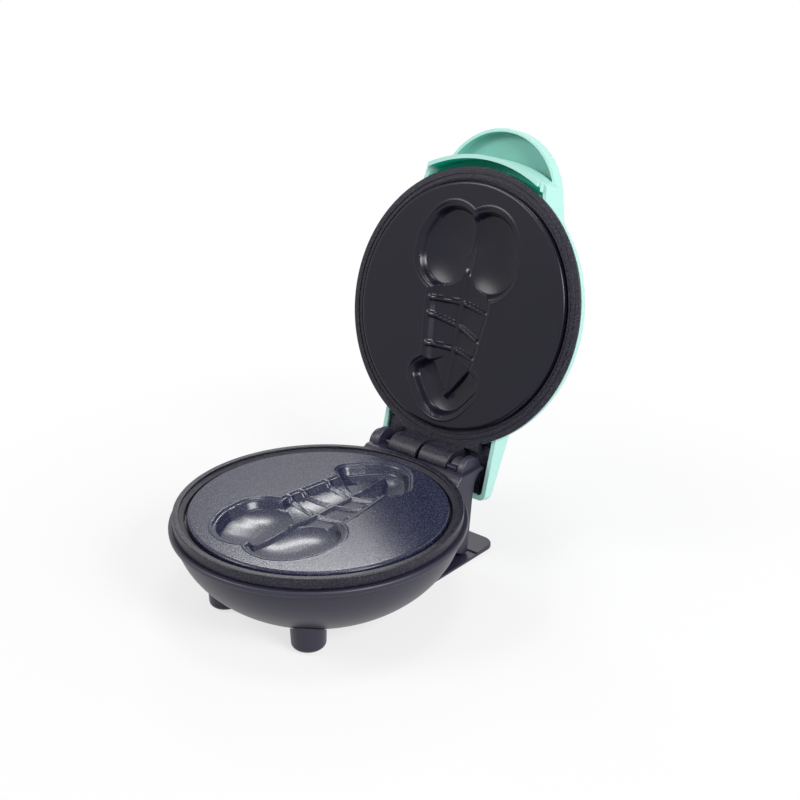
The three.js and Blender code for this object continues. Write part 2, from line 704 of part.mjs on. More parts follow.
const terminalTop = bowlFloor + fit + terminalSize.z;
const terminalPlace = Math.max(...postPlaces.map(({ y }) => y)) + terminalPast;
addPiece(base, 'terminal_block', block(
  -terminalSize.x / 2, terminalSize.x / 2, terminalPlace - terminalSize.y / 2,
  terminalPlace + terminalSize.y / 2, bowlFloor + fit, terminalTop), 'ceramic');

const lowerTail = lowerFace - heaterDepth - heaterTail;
sides.forEach(([name, side]) => {
  const top = new THREE.Vector3(side * heaterEnd.x, heaterEnd.y, lowerTail - fit);
  const end = new THREE.Vector3(side * leadSpread, terminalPlace, terminalTop + fit);
  const below = top.clone().setZ(top.z - leadDip);
  const above = end.clone().setZ(end.z + leadDip / 2);
  addPiece(base, `heater_lead_${name}`, tube([top, below, above, end], leadRadius, smallSteps), 'sleeve');
});

const lowerSeat = shellPostTop - shellPostFloor - fit;
postPlaces.forEach(({ x, y }, i) => {
  const length = lowerFace - postHoleDepth - fit - lowerSeat;
  const place = new THREE.Vector3(x, y, lowerSeat);
  addPiece(base, `lower_screw_${i + 1}`, screw(place, up, length), 'steel');
});

// Base: the rear stand, which carries the hinge

const footTop = tableLevel + padProud + footThickness;
const toeTop = tableLevel + padProud + footToe;
const standFoot = toeTop + fit;
const panelSlope = (panelMid - panelFoot) / (-panelMidDrop - standFoot);
const panelRear = (z) => panelMid + (z + panelMidDrop) * panelSlope;
const outward = new THREE.Vector3(0, 1, -panelSlope).normalize();
const pocketFloor = standFoot + pocketRise;
const pegPlace = panelFoot - pegInset;
const coverHalf = pocketHalf + coverMargin;
const coverLow = pocketFloor - coverMargin + coverWall;
const coverHigh = -pocketDrop + coverMargin + coverWall;

// A sheet along the stand's sloping back, from a depth inside it to a distance outside it.
const sheet = (half, low, high, depth, proud) => across([
  [panelRear(low) - depth, low], [panelRear(low) + proud, low],
  [panelRear(high) + proud, high], [panelRear(high) - depth, high]], -half, half);

const coverScrewPlaces = [-1, 1].map((side) =>
  new THREE.Vector3(side * coverScrewSpread, panelRear(-coverScrewDrop), -coverScrewDrop));

// A bar on the hinge line, on one side of the middle.
function hingeBar(r, side, inner, outer, steps = roundSteps) {
  const ends = [side * inner, side * outer].sort((a, b) => a - b);
  return bar(r, ...ends, hingeY, hingeZ, steps);
}

function rearStand() {
  const ledgeFront = ringRadius + fit;
  const ledgeEnd = hingeY + ledgePast;
  const panelTop = hingeY + panelTopPast;
  const shoulderFront = ringRadius - shoulderInset;
  const cradleHalf = knuckleOuter + cradleSide;
  const body = across([
    [ledgeFront, -ledgeDrop], [ledgeEnd, -ledgeDrop], [ledgeEnd, -ledgeDrop - ledgeThick],
    [panelTop, -ledgeDrop - ledgeThick], [panelMid, -panelMidDrop], [panelFoot, standFoot],
    [panelFoot - panelThickness, standFoot], [gussetFront, standFoot + gussetRise],
    [gussetFront, flangeLow - flangeOverhang], [shoulderFront, flangeTop + fit],
    [(shoulderFront + ledgeFront) / 2, -2 * ledgeDrop]], -standHalf, standHalf);
  const cradle = bar(knuckleRadius + cradleGap, -cradleHalf, cradleHalf, hingeY, hingeZ, roundSteps);
  const cradleMouth = block(-cradleHalf, cradleHalf, knuckleFront - cradleGap, ledgeEnd + overrun,
    hingeZ, overrun);
  const pocket = block(-pocketHalf, pocketHalf, gussetFront - overrun, ledgeEnd, pocketFloor, -pocketDrop);
  const hollow = block(-standHalf + standWall, standHalf - standWall, gussetFront - overrun,
    panelFoot - panelThickness, standFoot - overrun, -pocketDrop);
  const rebate = sheet(coverHalf, coverLow, coverHigh, coverWall + fit, overrun);
  const shell = cut(body, bowlBody(fit, overrun), cradle, cradleMouth, pocket, hollow, rebate);
  const ears = sides.map(([, side]) => hingeBar(knuckleRadius, side, earOuter - earWidth, earOuter));
  const hub = hingeBar(hubRadius, -1, earOuter - earWidth / 2, standHalf, smallSteps);
  const low = block(lugInner, lugOuter, knuckleFront + fit, knuckleFront + blockReach,
    -ledgeDrop - ledgeThick, blockTop);
  const pegPosts = sides.map(([, side]) =>
    post(pegBoss, standFoot, standFoot + pegHeight + pegBoss, side * pegSpread, pegPlace));
  const pegHoles = sides.map(([, side]) => post(
    pegRadius + fit, standFoot - overrun, standFoot + pegHeight + fit, side * pegSpread, pegPlace));
  const pinWay = bar(pinHole, -standHalf - overrun, earOuter - overrun, hingeY, hingeZ);
  const frontHoles = sides.map(([, side]) => shaftAlong(
    screwHole, gussetFront, standBossFront + standScrewLength, side * standScrewSpread, -standScrewDrop));
  const rearHoles = coverScrewPlaces.map((place) =>
    aimed(rod(screwHole, -coverScrewLength - coverWall, coverWall), place, outward));
  return cut(
    join(shell, ...ears, hub, low, ...pegPosts), ...pegHoles, pinWay, ...frontHoles, ...rearHoles);
}

function standCover() {
  const plate = sheet(coverHalf - fit, coverLow + fit, coverHigh - fit, coverWall, 0);
  const wayOut = new THREE.Vector3(0, panelRear(-bushingDrop), -bushingDrop);
  const holes = coverScrewPlaces.map((place) => aimed(rod(screwHole, -bushingLength, overrun), place, outward));
  return cut(plate, aimed(rod(bushingRadius + fit, -bushingLength, overrun), wayOut, outward), ...holes);
}

addPiece(base, 'rear_stand', rearStand(), 'satinBlack');
addPiece(base, 'stand_cover', standCover(), 'satinBlack');
sides.forEach(([name, side]) => {
  const place = new THREE.Vector3(side * standScrewSpread, standBossFront - fit, -standScrewDrop);
  addPiece(base, `stand_screw_${name}`, screw(place, back, standScrewLength), 'steel');
});
coverScrewPlaces.forEach((place, i) => {
  const seat = place.clone().addScaledVector(outward, fit);
  const solid = screw(seat, outward.clone().negate(), coverScrewLength + fit);
  addPiece(base, `cover_screw_${sides[i][0]}`, solid, 'steel');
});

const bushingSeat = new THREE.Vector3(0, panelRear(-bushingDrop), -bushingDrop);
addPiece(base, 'cord_bushing', aimed([
  [bushingBore, -bushingLength], [bushingRadius, -bushingLength], [bushingRadius, fit],
  [bushingCollar, fit], [bushingCollar, bushingProud - flangeRound],
  [bushingCollar - flangeRound, bushingProud], [bushingBore, bushingProud],
  [bushingBore, -bushingLength]], bushingSeat, outward, smallSteps), 'rubber');

// Base: foot, front feet and pads

// A plan with two round corners at the rear.
function footPlan(half, front, rear, corner) {
  const turn = Array.from({ length: curveSteps + 1 }, (_, i) => (i / curveSteps) * (Math.PI / 2));
  const right = turn.map((a) => [half - corner * (1 - Math.cos(a)), rear - corner * (1 - Math.sin(a))]);
  return [[half, front], ...right, ...right.map(([x, y]) => [-x, y]).reverse(), [-half, front]];
}

function rearFoot() {
  const low = tableLevel + padProud;
  const footFront = gussetFront - toeLap;
  const footStep = hingeY - footStepInset;
  const toe = raised(footPlan(footHalf, footFront, footEnd, footCorner), low, toeTop);
  const heel = raised(footPlan(footHalf, footStep, footEnd, footCorner), low, footTop);
  const pegs = sides.map(([, side]) =>
    post(pegRadius, low + footToe / 2, standFoot + pegHeight, side * pegSpread, pegPlace));
  const seats = sides.map(([, side]) => post(
    padRadius + fit, low - overrun, low + padSeat + fit, side * padSpread, footEnd - padInset));
  return cut(join(toe, heel, ...pegs), ...seats);
}

function frontFoot(side) {
  const x = side * legSpread;
  const low = tableLevel + padProud;
  const leg = aimed([
    [0, low], [legRadius - legTaper, low], [legRadius, low + legRise], [0, low + legRise]],
  new THREE.Vector3(x, -legPlace, 0), up);
  const stem = post(legStem, low + padSeat + padProud, low + legRise + legStemRise, x, -legPlace);
  const seat = post(legPadRadius + fit, low - overrun, low + padSeat + fit, x, -legPlace);
  return cut(join(leg.subtract(bowlBody(fit, overrun)), stem), seat);
}

addPiece(base, 'rear_foot', rearFoot(), 'satinBlack');
sides.forEach(([name, side]) => {
  const padTop = tableLevel + padProud + padSeat;
  addPiece(base, `front_foot_${name}`, frontFoot(side), 'satinBlack');
  addPiece(base, `front_pad_${name}`,
    post(legPadRadius, tableLevel, padTop, side * legSpread, -legPlace), 'rubber');
  addPiece(base, `rear_pad_${name}`,
    post(padRadius, tableLevel, padTop, side * padSpread, footEnd - padInset), 'rubber');
});

// Hinge pin and the plug over its end

const pinReach = earOuter - overrun - fit;
addPiece(base, 'hinge_pin', bar(pinRadius, -pinReach, pinReach, hingeY, hingeZ), 'steel');
addPiece(base, 'hinge_pin_cap', bar(pinRadius, -standHalf, -pinReach - fit, hingeY, hingeZ), 'rubber');

// Lid: black frame with the hinge knuckles

const linerTop = linerLift + linerThickness;
const linerHalf = tailHalf - shellWall - linerGap;
const linerEnd = tailEnd - shellWall - linerGap;
const linerFront = tongueReach + linerGap;
const frameLedge = upperFace + ledgeDepth;
const tailScrewPlaces = sides.map(([, side]) => ({ x: side * tailScrewSpread, y: tailEnd - tailScrewInset }));

// The dome's side from its rim to its crown, and the radius or the height that it has at a point.
const domeArc = (grow) => quarter(domeRadius + grow, domeHeight + grow, 0, domeHeight + grow)
  .map(([r, z]) => [r, z + domeRim]);
const along = (points, from, to, value) => {
  const i = points.findIndex((p, k) => k > 0 && (p[from] - value) * (points[k - 1][from] - value) <= 0);
  const [a, b] = [points[i - 1], points[i]];
  return a[to] + ((b[to] - a[to]) * (value - a[from])) / (b[from] - a[from]);
};
const domeInner = (z) => along(domeArc(-shellWall), 1, 0, z);

function lidFrame() {
  const spigotTop = lidFrameLift + spigotRise;
  const spigotOuter = domeInner(spigotTop) - fit;
  const edge = lidFrameLift + lidFrameEdge;
  const ring = turnedRing([
    [frameInner, lidFrameLift], [frameRadius, lidFrameLift], [frameRadius, edge],
    [domeInner(domeRim) - fit, edge], [spigotOuter, spigotTop], [spigotOuter - spigotWall, spigotTop],
    [spigotOuter - spigotWall, frameLedge + ledgeThickness],
    [lidPlateRadius - plateLap, frameLedge + ledgeThickness], [lidPlateRadius - plateLap, frameLedge],
    [frameInner, frameLedge]]);
  const tongueTop = lidFrameLift + tongueThickness;
  const tongue = cut(
    block(-tongueHalf, tongueHalf, frameInner - tongueHalf, tongueReach, lidFrameLift, tongueTop),
    post(frameInner, lidFrameLift - overrun, tongueTop + overrun, 0, 0, roundSteps));
  const bridge = block(-knuckleOuter, knuckleOuter, tongueReach - tongueWall,
    knuckleFront + knuckleArm / 2, lidFrameLift, tongueTop);
  const wall = block(-tongueHalf, tongueHalf, tongueReach - tongueWall, tongueReach, lidFrameLift, linerTop);
  const neck = block(-tongueHalf, tongueHalf, tongueReach - tongueWall, linerFront + linerChamfer,
    linerLift, linerTop);
  const liner = raised([
    [-linerHalf, linerFront], [linerHalf, linerFront], [linerHalf, linerEnd - linerChamfer],
    [linerHalf - linerChamfer, linerEnd], [-linerHalf + linerChamfer, linerEnd],
    [-linerHalf, linerEnd - linerChamfer]], linerLift, linerTop);
  const knuckles = [-1, 1].map((side) => hingeBar(knuckleRadius, side, knuckleInner, knuckleOuter));
  const arms = [-1, 1].map((side) => block(
    Math.min(side * knuckleInner, side * knuckleOuter), Math.max(side * knuckleInner, side * knuckleOuter),
    knuckleFront, knuckleFront + knuckleArm, hingeZ, linerTop));
  const lug = across([
    [knuckleFront, -ledgeDrop + fit], [knuckleFront + lugReach, -ledgeDrop + fit],
    [knuckleFront + lugReach, lidFrameLift + lugTop], [tongueReach, tongueTop],
    [tongueReach - tongueWall, tongueTop], [tongueReach - tongueWall, lidFrameLift],
    [knuckleFront, lidFrameLift]], -lugOuter, -lugInner);
  const pinWay = bar(pinHole, -knuckleOuter - overrun, knuckleOuter + overrun, hingeY, hingeZ);
  const screwWays = tailScrewPlaces.map(({ x, y }) =>
    post(screwHole, linerLift - overrun, linerTop + overrun, x, y));
  const whole = join(ring, tongue, bridge, wall, neck, liner, ...knuckles, ...arms, lug);
  return cut(whole, pinWay, ...screwWays);
}

// Lid: the shell, with the chin and handle in front and the hinge cover behind

function domeBody(grow, rim) {
  const arc = domeArc(grow);
  return turned([[0, rim], [domeRadius + grow, rim], ...(rim < domeRim ? arc : arc.slice(1))]);
}

// The chin's plan: round in front and straight back to the dome at its sides.
function chinPlan(inset, rear) {
  const r = domeRadius + chinReach - inset;
  const span = Math.asin((chinHalf - inset) / r);
  const front = Array.from({ length: smallSteps + 1 }, (_, i) => {
    const angle = span * (1 - (2 * i) / smallSteps);
    return [-r * Math.sin(angle), -r * Math.cos(angle)];
  });
  const root = chinRoot - inset;
  const rearSpan = Math.asin(root / rear);
  const rearArc = Array.from({ length: smallSteps + 1 }, (_, i) => {
    const angle = -rearSpan * (1 - (2 * i) / smallSteps);
    return [-rear * Math.sin(angle), -rear * Math.cos(angle)];
  });
  return [...front, ...rearArc];
}

const tailSlope = (tailTopEnd - tailTopRoot) / (tailEnd - tailRoot);

// The hinge cover as one body: an arched section run along +Y, with a rounded end.
function tailBody(inset, low) {
  const end = tailEnd - inset;
  const section = (y, draw) => {
    const half = tailHalf - inset - draw;
    const high = tailTopRoot + (y - tailRoot) * tailSlope - inset - draw;
    const corner = tailCorner - inset / 2;
    const arc = Array.from({ length: curveSteps }, (_, i) => {
      const a = (i / (curveSteps - 1)) * (Math.PI / 2);
      return [half - corner * (1 - Math.cos(a)), y, high - corner * (1 - Math.sin(a))];
    });
    return [[-half, y, low], [half, y, low], ...arc, ...arc.map(([x, , z]) => [-x, y, z]).reverse()];
  };
  const round = tailCorner - inset / 2;
  const bent = [0, Math.PI / 6, Math.PI / 3, Math.PI / 2].map((a) =>
    section(end - round * (1 - Math.sin(a)), round * (1 - Math.cos(a))));
  return loft([section(tailRoot - inset, 0), ...bent]);
}

function lidShell() {
  const dome = domeBody(0, domeRim);
  const inside = domeBody(-shellWall, domeRim - overrun);
  const chinLow = -chinHang;
  const tabFloor = tabTop - tabRoof;
  const tabRounds = [
    { x: 0, y: tabInset - domeRadius, r: tabRadius },
    ...mirrored({ x: cheekSpread, y: cheekInset - domeRadius, r: cheekRadius })];
  const chinOutline = chinPlan(0, domeRadius - shellWall / 2);
  const chin = cut(
    raised(chinOutline, chinLow, tabFloor + tabRoof / 2),
    post(domeRadius, chinLow - overrun, domeRim, 0, 0, roundSteps),
    across([
      [-domeRadius * Math.cos(Math.asin(chinHalf / domeRadius)) - chinWall, chinLow - overrun],
      [-domeRadius * Math.cos(Math.asin(chinHalf / domeRadius)) - chinWall, chinLow],
      [-domeRadius * Math.cos(Math.asin(chinRoot / domeRadius)), domeRim],
      [0, domeRim], [0, chinLow - overrun]], -domeRadius, domeRadius));
  const tab = mound(tabRounds, [
    [0, tabUnder], [0, tabTop - tabRoundOver], [-tabRoundOver * (1 - Math.SQRT1_2),
      tabTop - tabRoundOver * (1 - Math.SQRT1_2)], [-tabRoundOver, tabTop]]);
  const recess = cut(
    mound(tabRounds, [[-tabWall, tabUnder - overrun], [-tabWall, tabFloor]]),
    raised(chinOutline, chinLow, tabTop), dome);
  const chinHollow = cut(
    raised(chinPlan(chinWall, domeRadius - shellWall), chinLow - overrun, tabFloor),
    domeBody(0, domeRim - overrun));
  const tail = tailBody(0, tailLift);
  const tailHollow = tailBody(shellWall, tailLift - overrun).subtract(dome);
  const slotTop = linerTop + fit;
  const slot = block(-tongueHalf - fit, tongueHalf + fit, frameInner - tongueHalf, linerEnd,
    domeRim - overrun, slotTop);
  const bosses = tailScrewPlaces.map(({ x, y }) =>
    post(screwHead, slotTop, tailTopEnd - shellWall / 2, x, y));
  const screwWays = tailScrewPlaces.map(({ x, y }) =>
    post(screwHole, slotTop - overrun, tailTopEnd - shellWall / 2, x, y));
  const lensWay = post(lensRadius + fit, domeRim, domeRim + domeHeight + overrun, 0, -lensPlace);
  const solid = cut(join(dome, chin, tab, tail), inside, recess, chinHollow, tailHollow, slot, lensWay);
  return cut(join(solid, ...bosses), ...screwWays);
}

addPiece(lidPieces, 'lid_frame', lidFrame(), 'texturedBlack');
addPiece(lidPieces, 'upper_plate', cookPlate(lidPlateRadius, upperFace, 1), 'nonStickDark');
addPiece(lidPieces, 'upper_heater', heater(upperFace, 1), 'steel');
addPiece(lidPieces, 'upper_heat_pan', heatPan(lidPlateRadius, upperFace, 1), 'steel');
const upperSeat = upperFace + panDepth + panWall + fit;
postPlaces.forEach(({ x, y }, i) => {
  const length = upperSeat - (upperFace + postHoleDepth + fit);
  addPiece(lidPieces, `upper_screw_${i + 1}`, screw(new THREE.Vector3(x, y, upperSeat), down, length), 'steel');
});
addPiece(lidPieces, 'lid_shell', lidShell(), 'mint');
tailScrewPlaces.forEach(({ x, y }, i) => {
  const place = new THREE.Vector3(x, y, linerLift - fit);
  const length = tailTopEnd - shellWall / 2 - fit - place.z;
  addPiece(lidPieces, `tail_screw_${sides[i][0]}`, screw(place, up, length), 'steel');
});

// Lid: indicator lens and the lamp under it

const lensOuter = along(domeArc(0), 0, 1, lensPlace);
const flangeHigh = along(domeArc(-shellWall), 0, 1, lensPlace + lensRadius + lensFlange) - fit;
const lensAt = new THREE.Vector3(0, -lensPlace, 0);
addPiece(lidPieces, 'indicator_lens', aimed([
  [0, flangeHigh - lensFlange], [lensRadius + lensFlange, flangeHigh - lensFlange],
  [lensRadius + lensFlange, flangeHigh], [lensRadius, flangeHigh],
  [lensRadius, lensOuter], [0, lensOuter + lensProud]], lensAt, up), 'lens');
addPiece(lidPieces, 'indicator_lamp', bar(
  lampRadius, -lampLength / 2, lampLength / 2, -lensPlace,
  flangeHigh - lensFlange - fit - lampRadius), 'glass');

// Open the lid, then stand the object on the table with its origin under the middle of its box

lid.rotation.x = -THREE.MathUtils.degToRad(openAngle);
object.updateMatrixWorld(true);
const box = new THREE.Box3().setFromObject(object, true);
const middle = box.getCenter(new THREE.Vector3());
object.position.set(-middle.x, -middle.y, -box.min.z);

export default object;
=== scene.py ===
# A mini waffle maker that stands open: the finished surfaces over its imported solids.
# Pieces are shaped in millimetres round the middle of the lower cook plate, with the top of the
# trim ring at height zero and the lid shut, and are put in place at the end.

import math

import bmesh
import bpy
import numpy as np
from mathutils import Matrix, Vector


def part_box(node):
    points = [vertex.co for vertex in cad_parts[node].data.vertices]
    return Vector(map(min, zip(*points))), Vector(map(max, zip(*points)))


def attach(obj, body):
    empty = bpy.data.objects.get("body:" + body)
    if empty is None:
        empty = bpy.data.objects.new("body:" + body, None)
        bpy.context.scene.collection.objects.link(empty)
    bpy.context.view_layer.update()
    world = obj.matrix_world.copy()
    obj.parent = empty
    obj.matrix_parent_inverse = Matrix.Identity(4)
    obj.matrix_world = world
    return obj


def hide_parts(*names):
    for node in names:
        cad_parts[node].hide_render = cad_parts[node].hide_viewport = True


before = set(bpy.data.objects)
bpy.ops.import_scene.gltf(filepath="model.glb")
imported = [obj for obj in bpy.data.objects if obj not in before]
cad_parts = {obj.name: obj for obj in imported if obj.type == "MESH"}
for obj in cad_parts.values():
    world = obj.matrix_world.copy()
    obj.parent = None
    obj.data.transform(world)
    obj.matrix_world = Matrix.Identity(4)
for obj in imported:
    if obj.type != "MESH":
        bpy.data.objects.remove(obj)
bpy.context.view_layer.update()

# Sizes in mm, as on the solids

PLATE, LID_PLATE = 54.7, 55.8
RING_IN, RING_STEP, RING_OUT = 55.8, 58.0, 60.6
RIM = 62.5                     # rolled rim of the bowl, and the edge of the lid shell
RIM_TOP, RIM_LOW = -4.8, -7.3
BOWL, BOWL_HEIGHT, BOWL_CROWN = 61.0, 42.5, -3.1
BOWL_BOTTOM = -39.9
TABLE = -42.8
SOLE = TABLE + 0.8             # underside of the feet, which their pads keep off the table
WALL = 2.0
LOWER_FACE, UPPER_FACE = -0.7, -0.2
HINGE_Y, HINGE_Z = 69.7, -2.5
KNUCKLE = 7.0
PIN_WAY = 1.9
FRAME_IN, FRAME_OUT, FRAME_FACE = 56.6, 62.4, 2.0
DOME_RIM, DOME_HEIGHT = 3.0, 24.0
POSTS = [(23.96, 18.05), (-23.96, 18.05), (0.0, -30.0)]   # screws under the plates
TAIL_SCREW = (14.0, 77.0)
COVER_SCREW = (9.0, -16.0)
FIT = 0.3
OPEN = math.radians(106)
SIDES = (("left", -1), ("right", 1))

ring_low, ring_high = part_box("lower_ring")
BASE = Matrix.Translation((0, (ring_low.y + ring_high.y) / 2, ring_high.z)) @ Matrix.Scale(0.001, 4)
pivot = Vector((0, HINGE_Y, HINGE_Z))
LID = BASE @ Matrix.Translation(pivot) @ Matrix.Rotation(-OPEN, 4, "X") @ Matrix.Translation(-pivot)

# Facets round a turned or drilled shape
HOLE_FACETS, PIN_FACETS, PAD_FACETS, HUB_FACETS = 32, 40, 48, 64
BARREL_FACETS, TOOL_FACETS, BOWL_FACETS, CHIN_FACETS = 96, 144, 160, 192

NEAR = 0.02                    # how near a corner is to a face that it counts as on
MERGE = 1e-4                   # corners that a spin or a cut leaves in one spot
WELD = 0.003                   # slivers that a cut by another body leaves
FLUSH = 0.002                  # radians between faces that are really one
CREASE = math.radians(32)      # edges sharper than this stay sharp in the shading

# Shaping


def wire(points, closed=False):
    bm = bmesh.new()
    verts = [bm.verts.new(p) for p in points]
    for a, b in zip(verts, verts[1:] + verts[:1] if closed else verts[1:]):
        bm.edges.new((a, b))
    return bm


def turned(profile, steps, closed=False):
    """A profile of (radius, height) spun about the upright axis."""
    bm = wire([(r, 0, z) for r, z in profile], closed)
    bmesh.ops.spin(bm, geom=bm.verts[:] + bm.edges[:], cent=(0, 0, 0), axis=(0, 0, 1),
                   angle=math.tau, steps=steps, use_merge=True)
    bmesh.ops.remove_doubles(bm, verts=bm.verts, dist=MERGE)
    bmesh.ops.recalc_face_normals(bm, faces=bm.faces)
    return bm


def arc(radius, height, centre, low, high, steps):
    """Radii and heights up the side of an ellipse."""
    a, b = math.asin((low - centre) / height), math.asin((high - centre) / height)
    turns = [a + (b - a) * i / steps for i in range(steps + 1)]
    return [(max(radius * math.cos(t), 0.0), centre + height * math.sin(t)) for t in turns]


def moved(bm, matrix):
    bmesh.ops.transform(bm, matrix=matrix, verts=bm.verts)
    if matrix.determinant() < 0:
        bmesh.ops.reverse_faces(bm, faces=bm.faces)
    return bm


def pointing(direction):
    """The turn that brings an upright shape to a direction."""
    return Vector(direction).to_track_quat("Z", "Y").to_matrix().to_4x4()


def block(x, y, z):
    bm = bmesh.new()
    bmesh.ops.create_cube(bm, size=1)
    size = Matrix.Diagonal((x[1] - x[0], y[1] - y[0], z[1] - z[0], 1))
    middle = Matrix.Translation(((x[0] + x[1]) / 2, (y[0] + y[1]) / 2, (z[0] + z[1]) / 2))
    return moved(bm, middle @ size)


def rod(radius, start, end, steps):
    start, end = Vector(start), Vector(end)
    bm = bmesh.new()
    bmesh.ops.create_cone(bm, cap_ends=True, segments=steps, radius1=radius, radius2=radius,
                          depth=(end - start).length)
    return moved(bm, Matrix.Translation((start + end) / 2) @ pointing(end - start))


def upright(radius, place, low, high, steps):
    """A rod that stands on a place in plan."""
    return rod(radius, (*place, low), (*place, high), steps)


def along_hinge(radius, left, right, steps, drop=0.0):
    """A rod round the hinge's line, or that far below it."""
    return rod(radius, (left, HINGE_Y, HINGE_Z - drop), (right, HINGE_Y, HINGE_Z - drop), steps)


def prism(outline, start, step):
    """A flat outline of points, pushed along a step."""
    bm = bmesh.new()
    face = bm.faces.new([bm.verts.new(Vector(p) + Vector(start)) for p in outline])
    new = bmesh.ops.extrude_face_region(bm, geom=[face])
    top = [v for v in new["geom"] if isinstance(v, bmesh.types.BMVert)]
    bmesh.ops.translate(bm, verts=top, vec=step)
    bmesh.ops.recalc_face_normals(bm, faces=bm.faces)
    return bm


def side_prism(outline, left, right):
    return prism([(0, y, z) for y, z in outline], (left, 0, 0), (right - left, 0, 0))


def plan_prism(outline, low, high):
    return prism([(x, y, 0) for x, y in outline], (0, 0, low), (0, 0, high - low))


def hull(rounds, low, high):
    """Round discs at two heights, drawn tight together."""
    bm = bmesh.new()
    for x, y, r in rounds:
        for z in (low, high):
            bmesh.ops.create_circle(bm, segments=BARREL_FACETS, radius=r,
                                    matrix=Matrix.Translation((x, y, z)))
    out = bmesh.ops.convex_hull(bm, input=bm.verts)
    loose = [v for v in out["geom_interior"] if isinstance(v, bmesh.types.BMVert)]
    bmesh.ops.delete(bm, geom=loose, context="VERTS")
    flat = [e for e in bm.edges if len(e.link_faces) == 2 and e.calc_face_angle() < FLUSH]
    bmesh.ops.dissolve_edges(bm, edges=flat, use_verts=True)
    bmesh.ops.recalc_face_normals(bm, faces=bm.faces)
    return bm


def soften(bm, radius, pick=lambda e: True, angle=30, segments=3):
    """Rounds the sharp edges that pick names."""
    edges = [e for e in bm.edges if len(e.link_faces) == 2
             and e.calc_face_angle() > math.radians(angle) and pick(e)]
    if edges:
        bmesh.ops.bevel(bm, geom=edges, offset=radius, offset_type="OFFSET", segments=segments,
                        profile=0.5, affect="EDGES", clamp_overlap=True, material=-1)
    return bm


def corner(r, z):
    """Picks a spun corner by its radius and height."""
    return lambda e: all(abs(math.hypot(v.co.x, v.co.y) - r) < NEAR and abs(v.co.z - z) < NEAR
                         for v in e.verts)


def above(z):
    """Picks the edges that lie wholly above a height."""
    return lambda e: all(v.co.z > z for v in e.verts)


def rise(edge):
    return abs(edge.verts[0].co.z - edge.verts[1].co.z)


def linked(name, bm):
    """A new object of the scene, with the shape for its mesh."""
    mesh = bpy.data.meshes.new(name)
    bm.to_mesh(mesh)
    bm.free()
    thing = bpy.data.objects.new(name, mesh)
    bpy.context.scene.collection.objects.link(thing)
    return thing


def worked(bm, *tools, how="DIFFERENCE"):
    """A body with other bodies cut away or added."""
    body = linked("draft", bm)
    others = [linked("draft", tool) for tool in tools]
    for other in others:
        step = body.modifiers.new("step", "BOOLEAN")
        step.operation, step.solver, step.object = how, "EXACT", other
    bpy.context.view_layer.update()
    seen = body.evaluated_get(bpy.context.evaluated_depsgraph_get())
    mesh = bpy.data.meshes.new_from_object(seen)
    out = bmesh.new()
    out.from_mesh(mesh)
    bpy.data.meshes.remove(mesh)
    for thing in [body] + others:
        data = thing.data
        bpy.data.objects.remove(thing)
        bpy.data.meshes.remove(data)
    bmesh.ops.remove_doubles(out, verts=out.verts, dist=WELD)
    bmesh.ops.dissolve_degenerate(out, edges=out.edges, dist=WELD)
    return out


def joined(bm, *others):
    return worked(bm, *others, how="UNION")


def piece(name, bm, place, body, material, slot, *nodes):
    """The finished piece: shaded, put in place, given its body, finish and the nodes it stands for."""
    moved(bm, place)
    bmesh.ops.triangulate(bm, faces=[f for f in bm.faces if len(f.verts) > 4])
    for face in bm.faces:
        face.smooth = True
    for edge in bm.edges:
        edge.smooth = len(edge.link_faces) == 2 and edge.calc_face_angle() < CREASE
    thing = linked(name, bm)
    thing.data.materials.append(material)
    even = thing.modifiers.new("even shading", "WEIGHTED_NORMAL")
    even.keep_sharp = True
    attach(thing, body)
    if nodes:
        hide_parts(*nodes)
    return thing


# Finishes

MIX_A, MIX_B, MIXED = 6, 7, 2  # sockets of a Mix node that mixes colours
COLOURS = {"data_type": "RGBA"}
FLOW, CLOUD = 38, 45           # mm over which the colour of a moulding and of a coat wanders
MARKS = (0.3, 0.7)             # where most values of a noise lie
PAINTED_GLINT_SPAN = (0.52, 0.66)          # values of a grain that get lighter, painted glints
FLECKS = (0.34, 0.12)          # where a fleck begins and where it is full, from its middle, in cells
FLECK_SPACING = 1.4            # in grains of the spray
METAL_SPREAD = 0.08            # how far a metal's roughness strays
RIPPLE, RIPPLE_DEPTH = 2.0, 0.01           # in mm, in clear mouldings


def colour(code):
    """An sRGB hex colour as linear light."""
    parts = [int(code[i:i + 2], 16) / 255 for i in (1, 3, 5)]
    return (*[c / 12.92 if c <= 0.04045 else ((c + 0.055) / 1.055) ** 2.4 for c in parts], 1.0)


def per_mm(size):
    """Texture scale for a pattern whose grain is this many mm."""
    return 1000 / size


def add(tree, kind, values=None, links=None, settings=None):
    node = tree.nodes.new(kind)
    for key, value in (settings or {}).items():
        setattr(node, key, value)
    for key, value in (values or {}).items():
        node.inputs[key].default_value = value
    for key, (source, socket) in (links or {}).items():
        tree.links.new(source.outputs[socket], node.inputs[key])
    return node


def blank_finish(name, values):
    """A new material with its tree, its shader with some values set, and object coordinates."""
    material = bpy.data.materials.new(name)
    material.use_nodes = True
    tree = material.node_tree
    shader = tree.nodes["Principled BSDF"]
    for key, value in values.items():
        shader.inputs[key].default_value = value
    return material, tree, shader, add(tree, "ShaderNodeTexCoord")


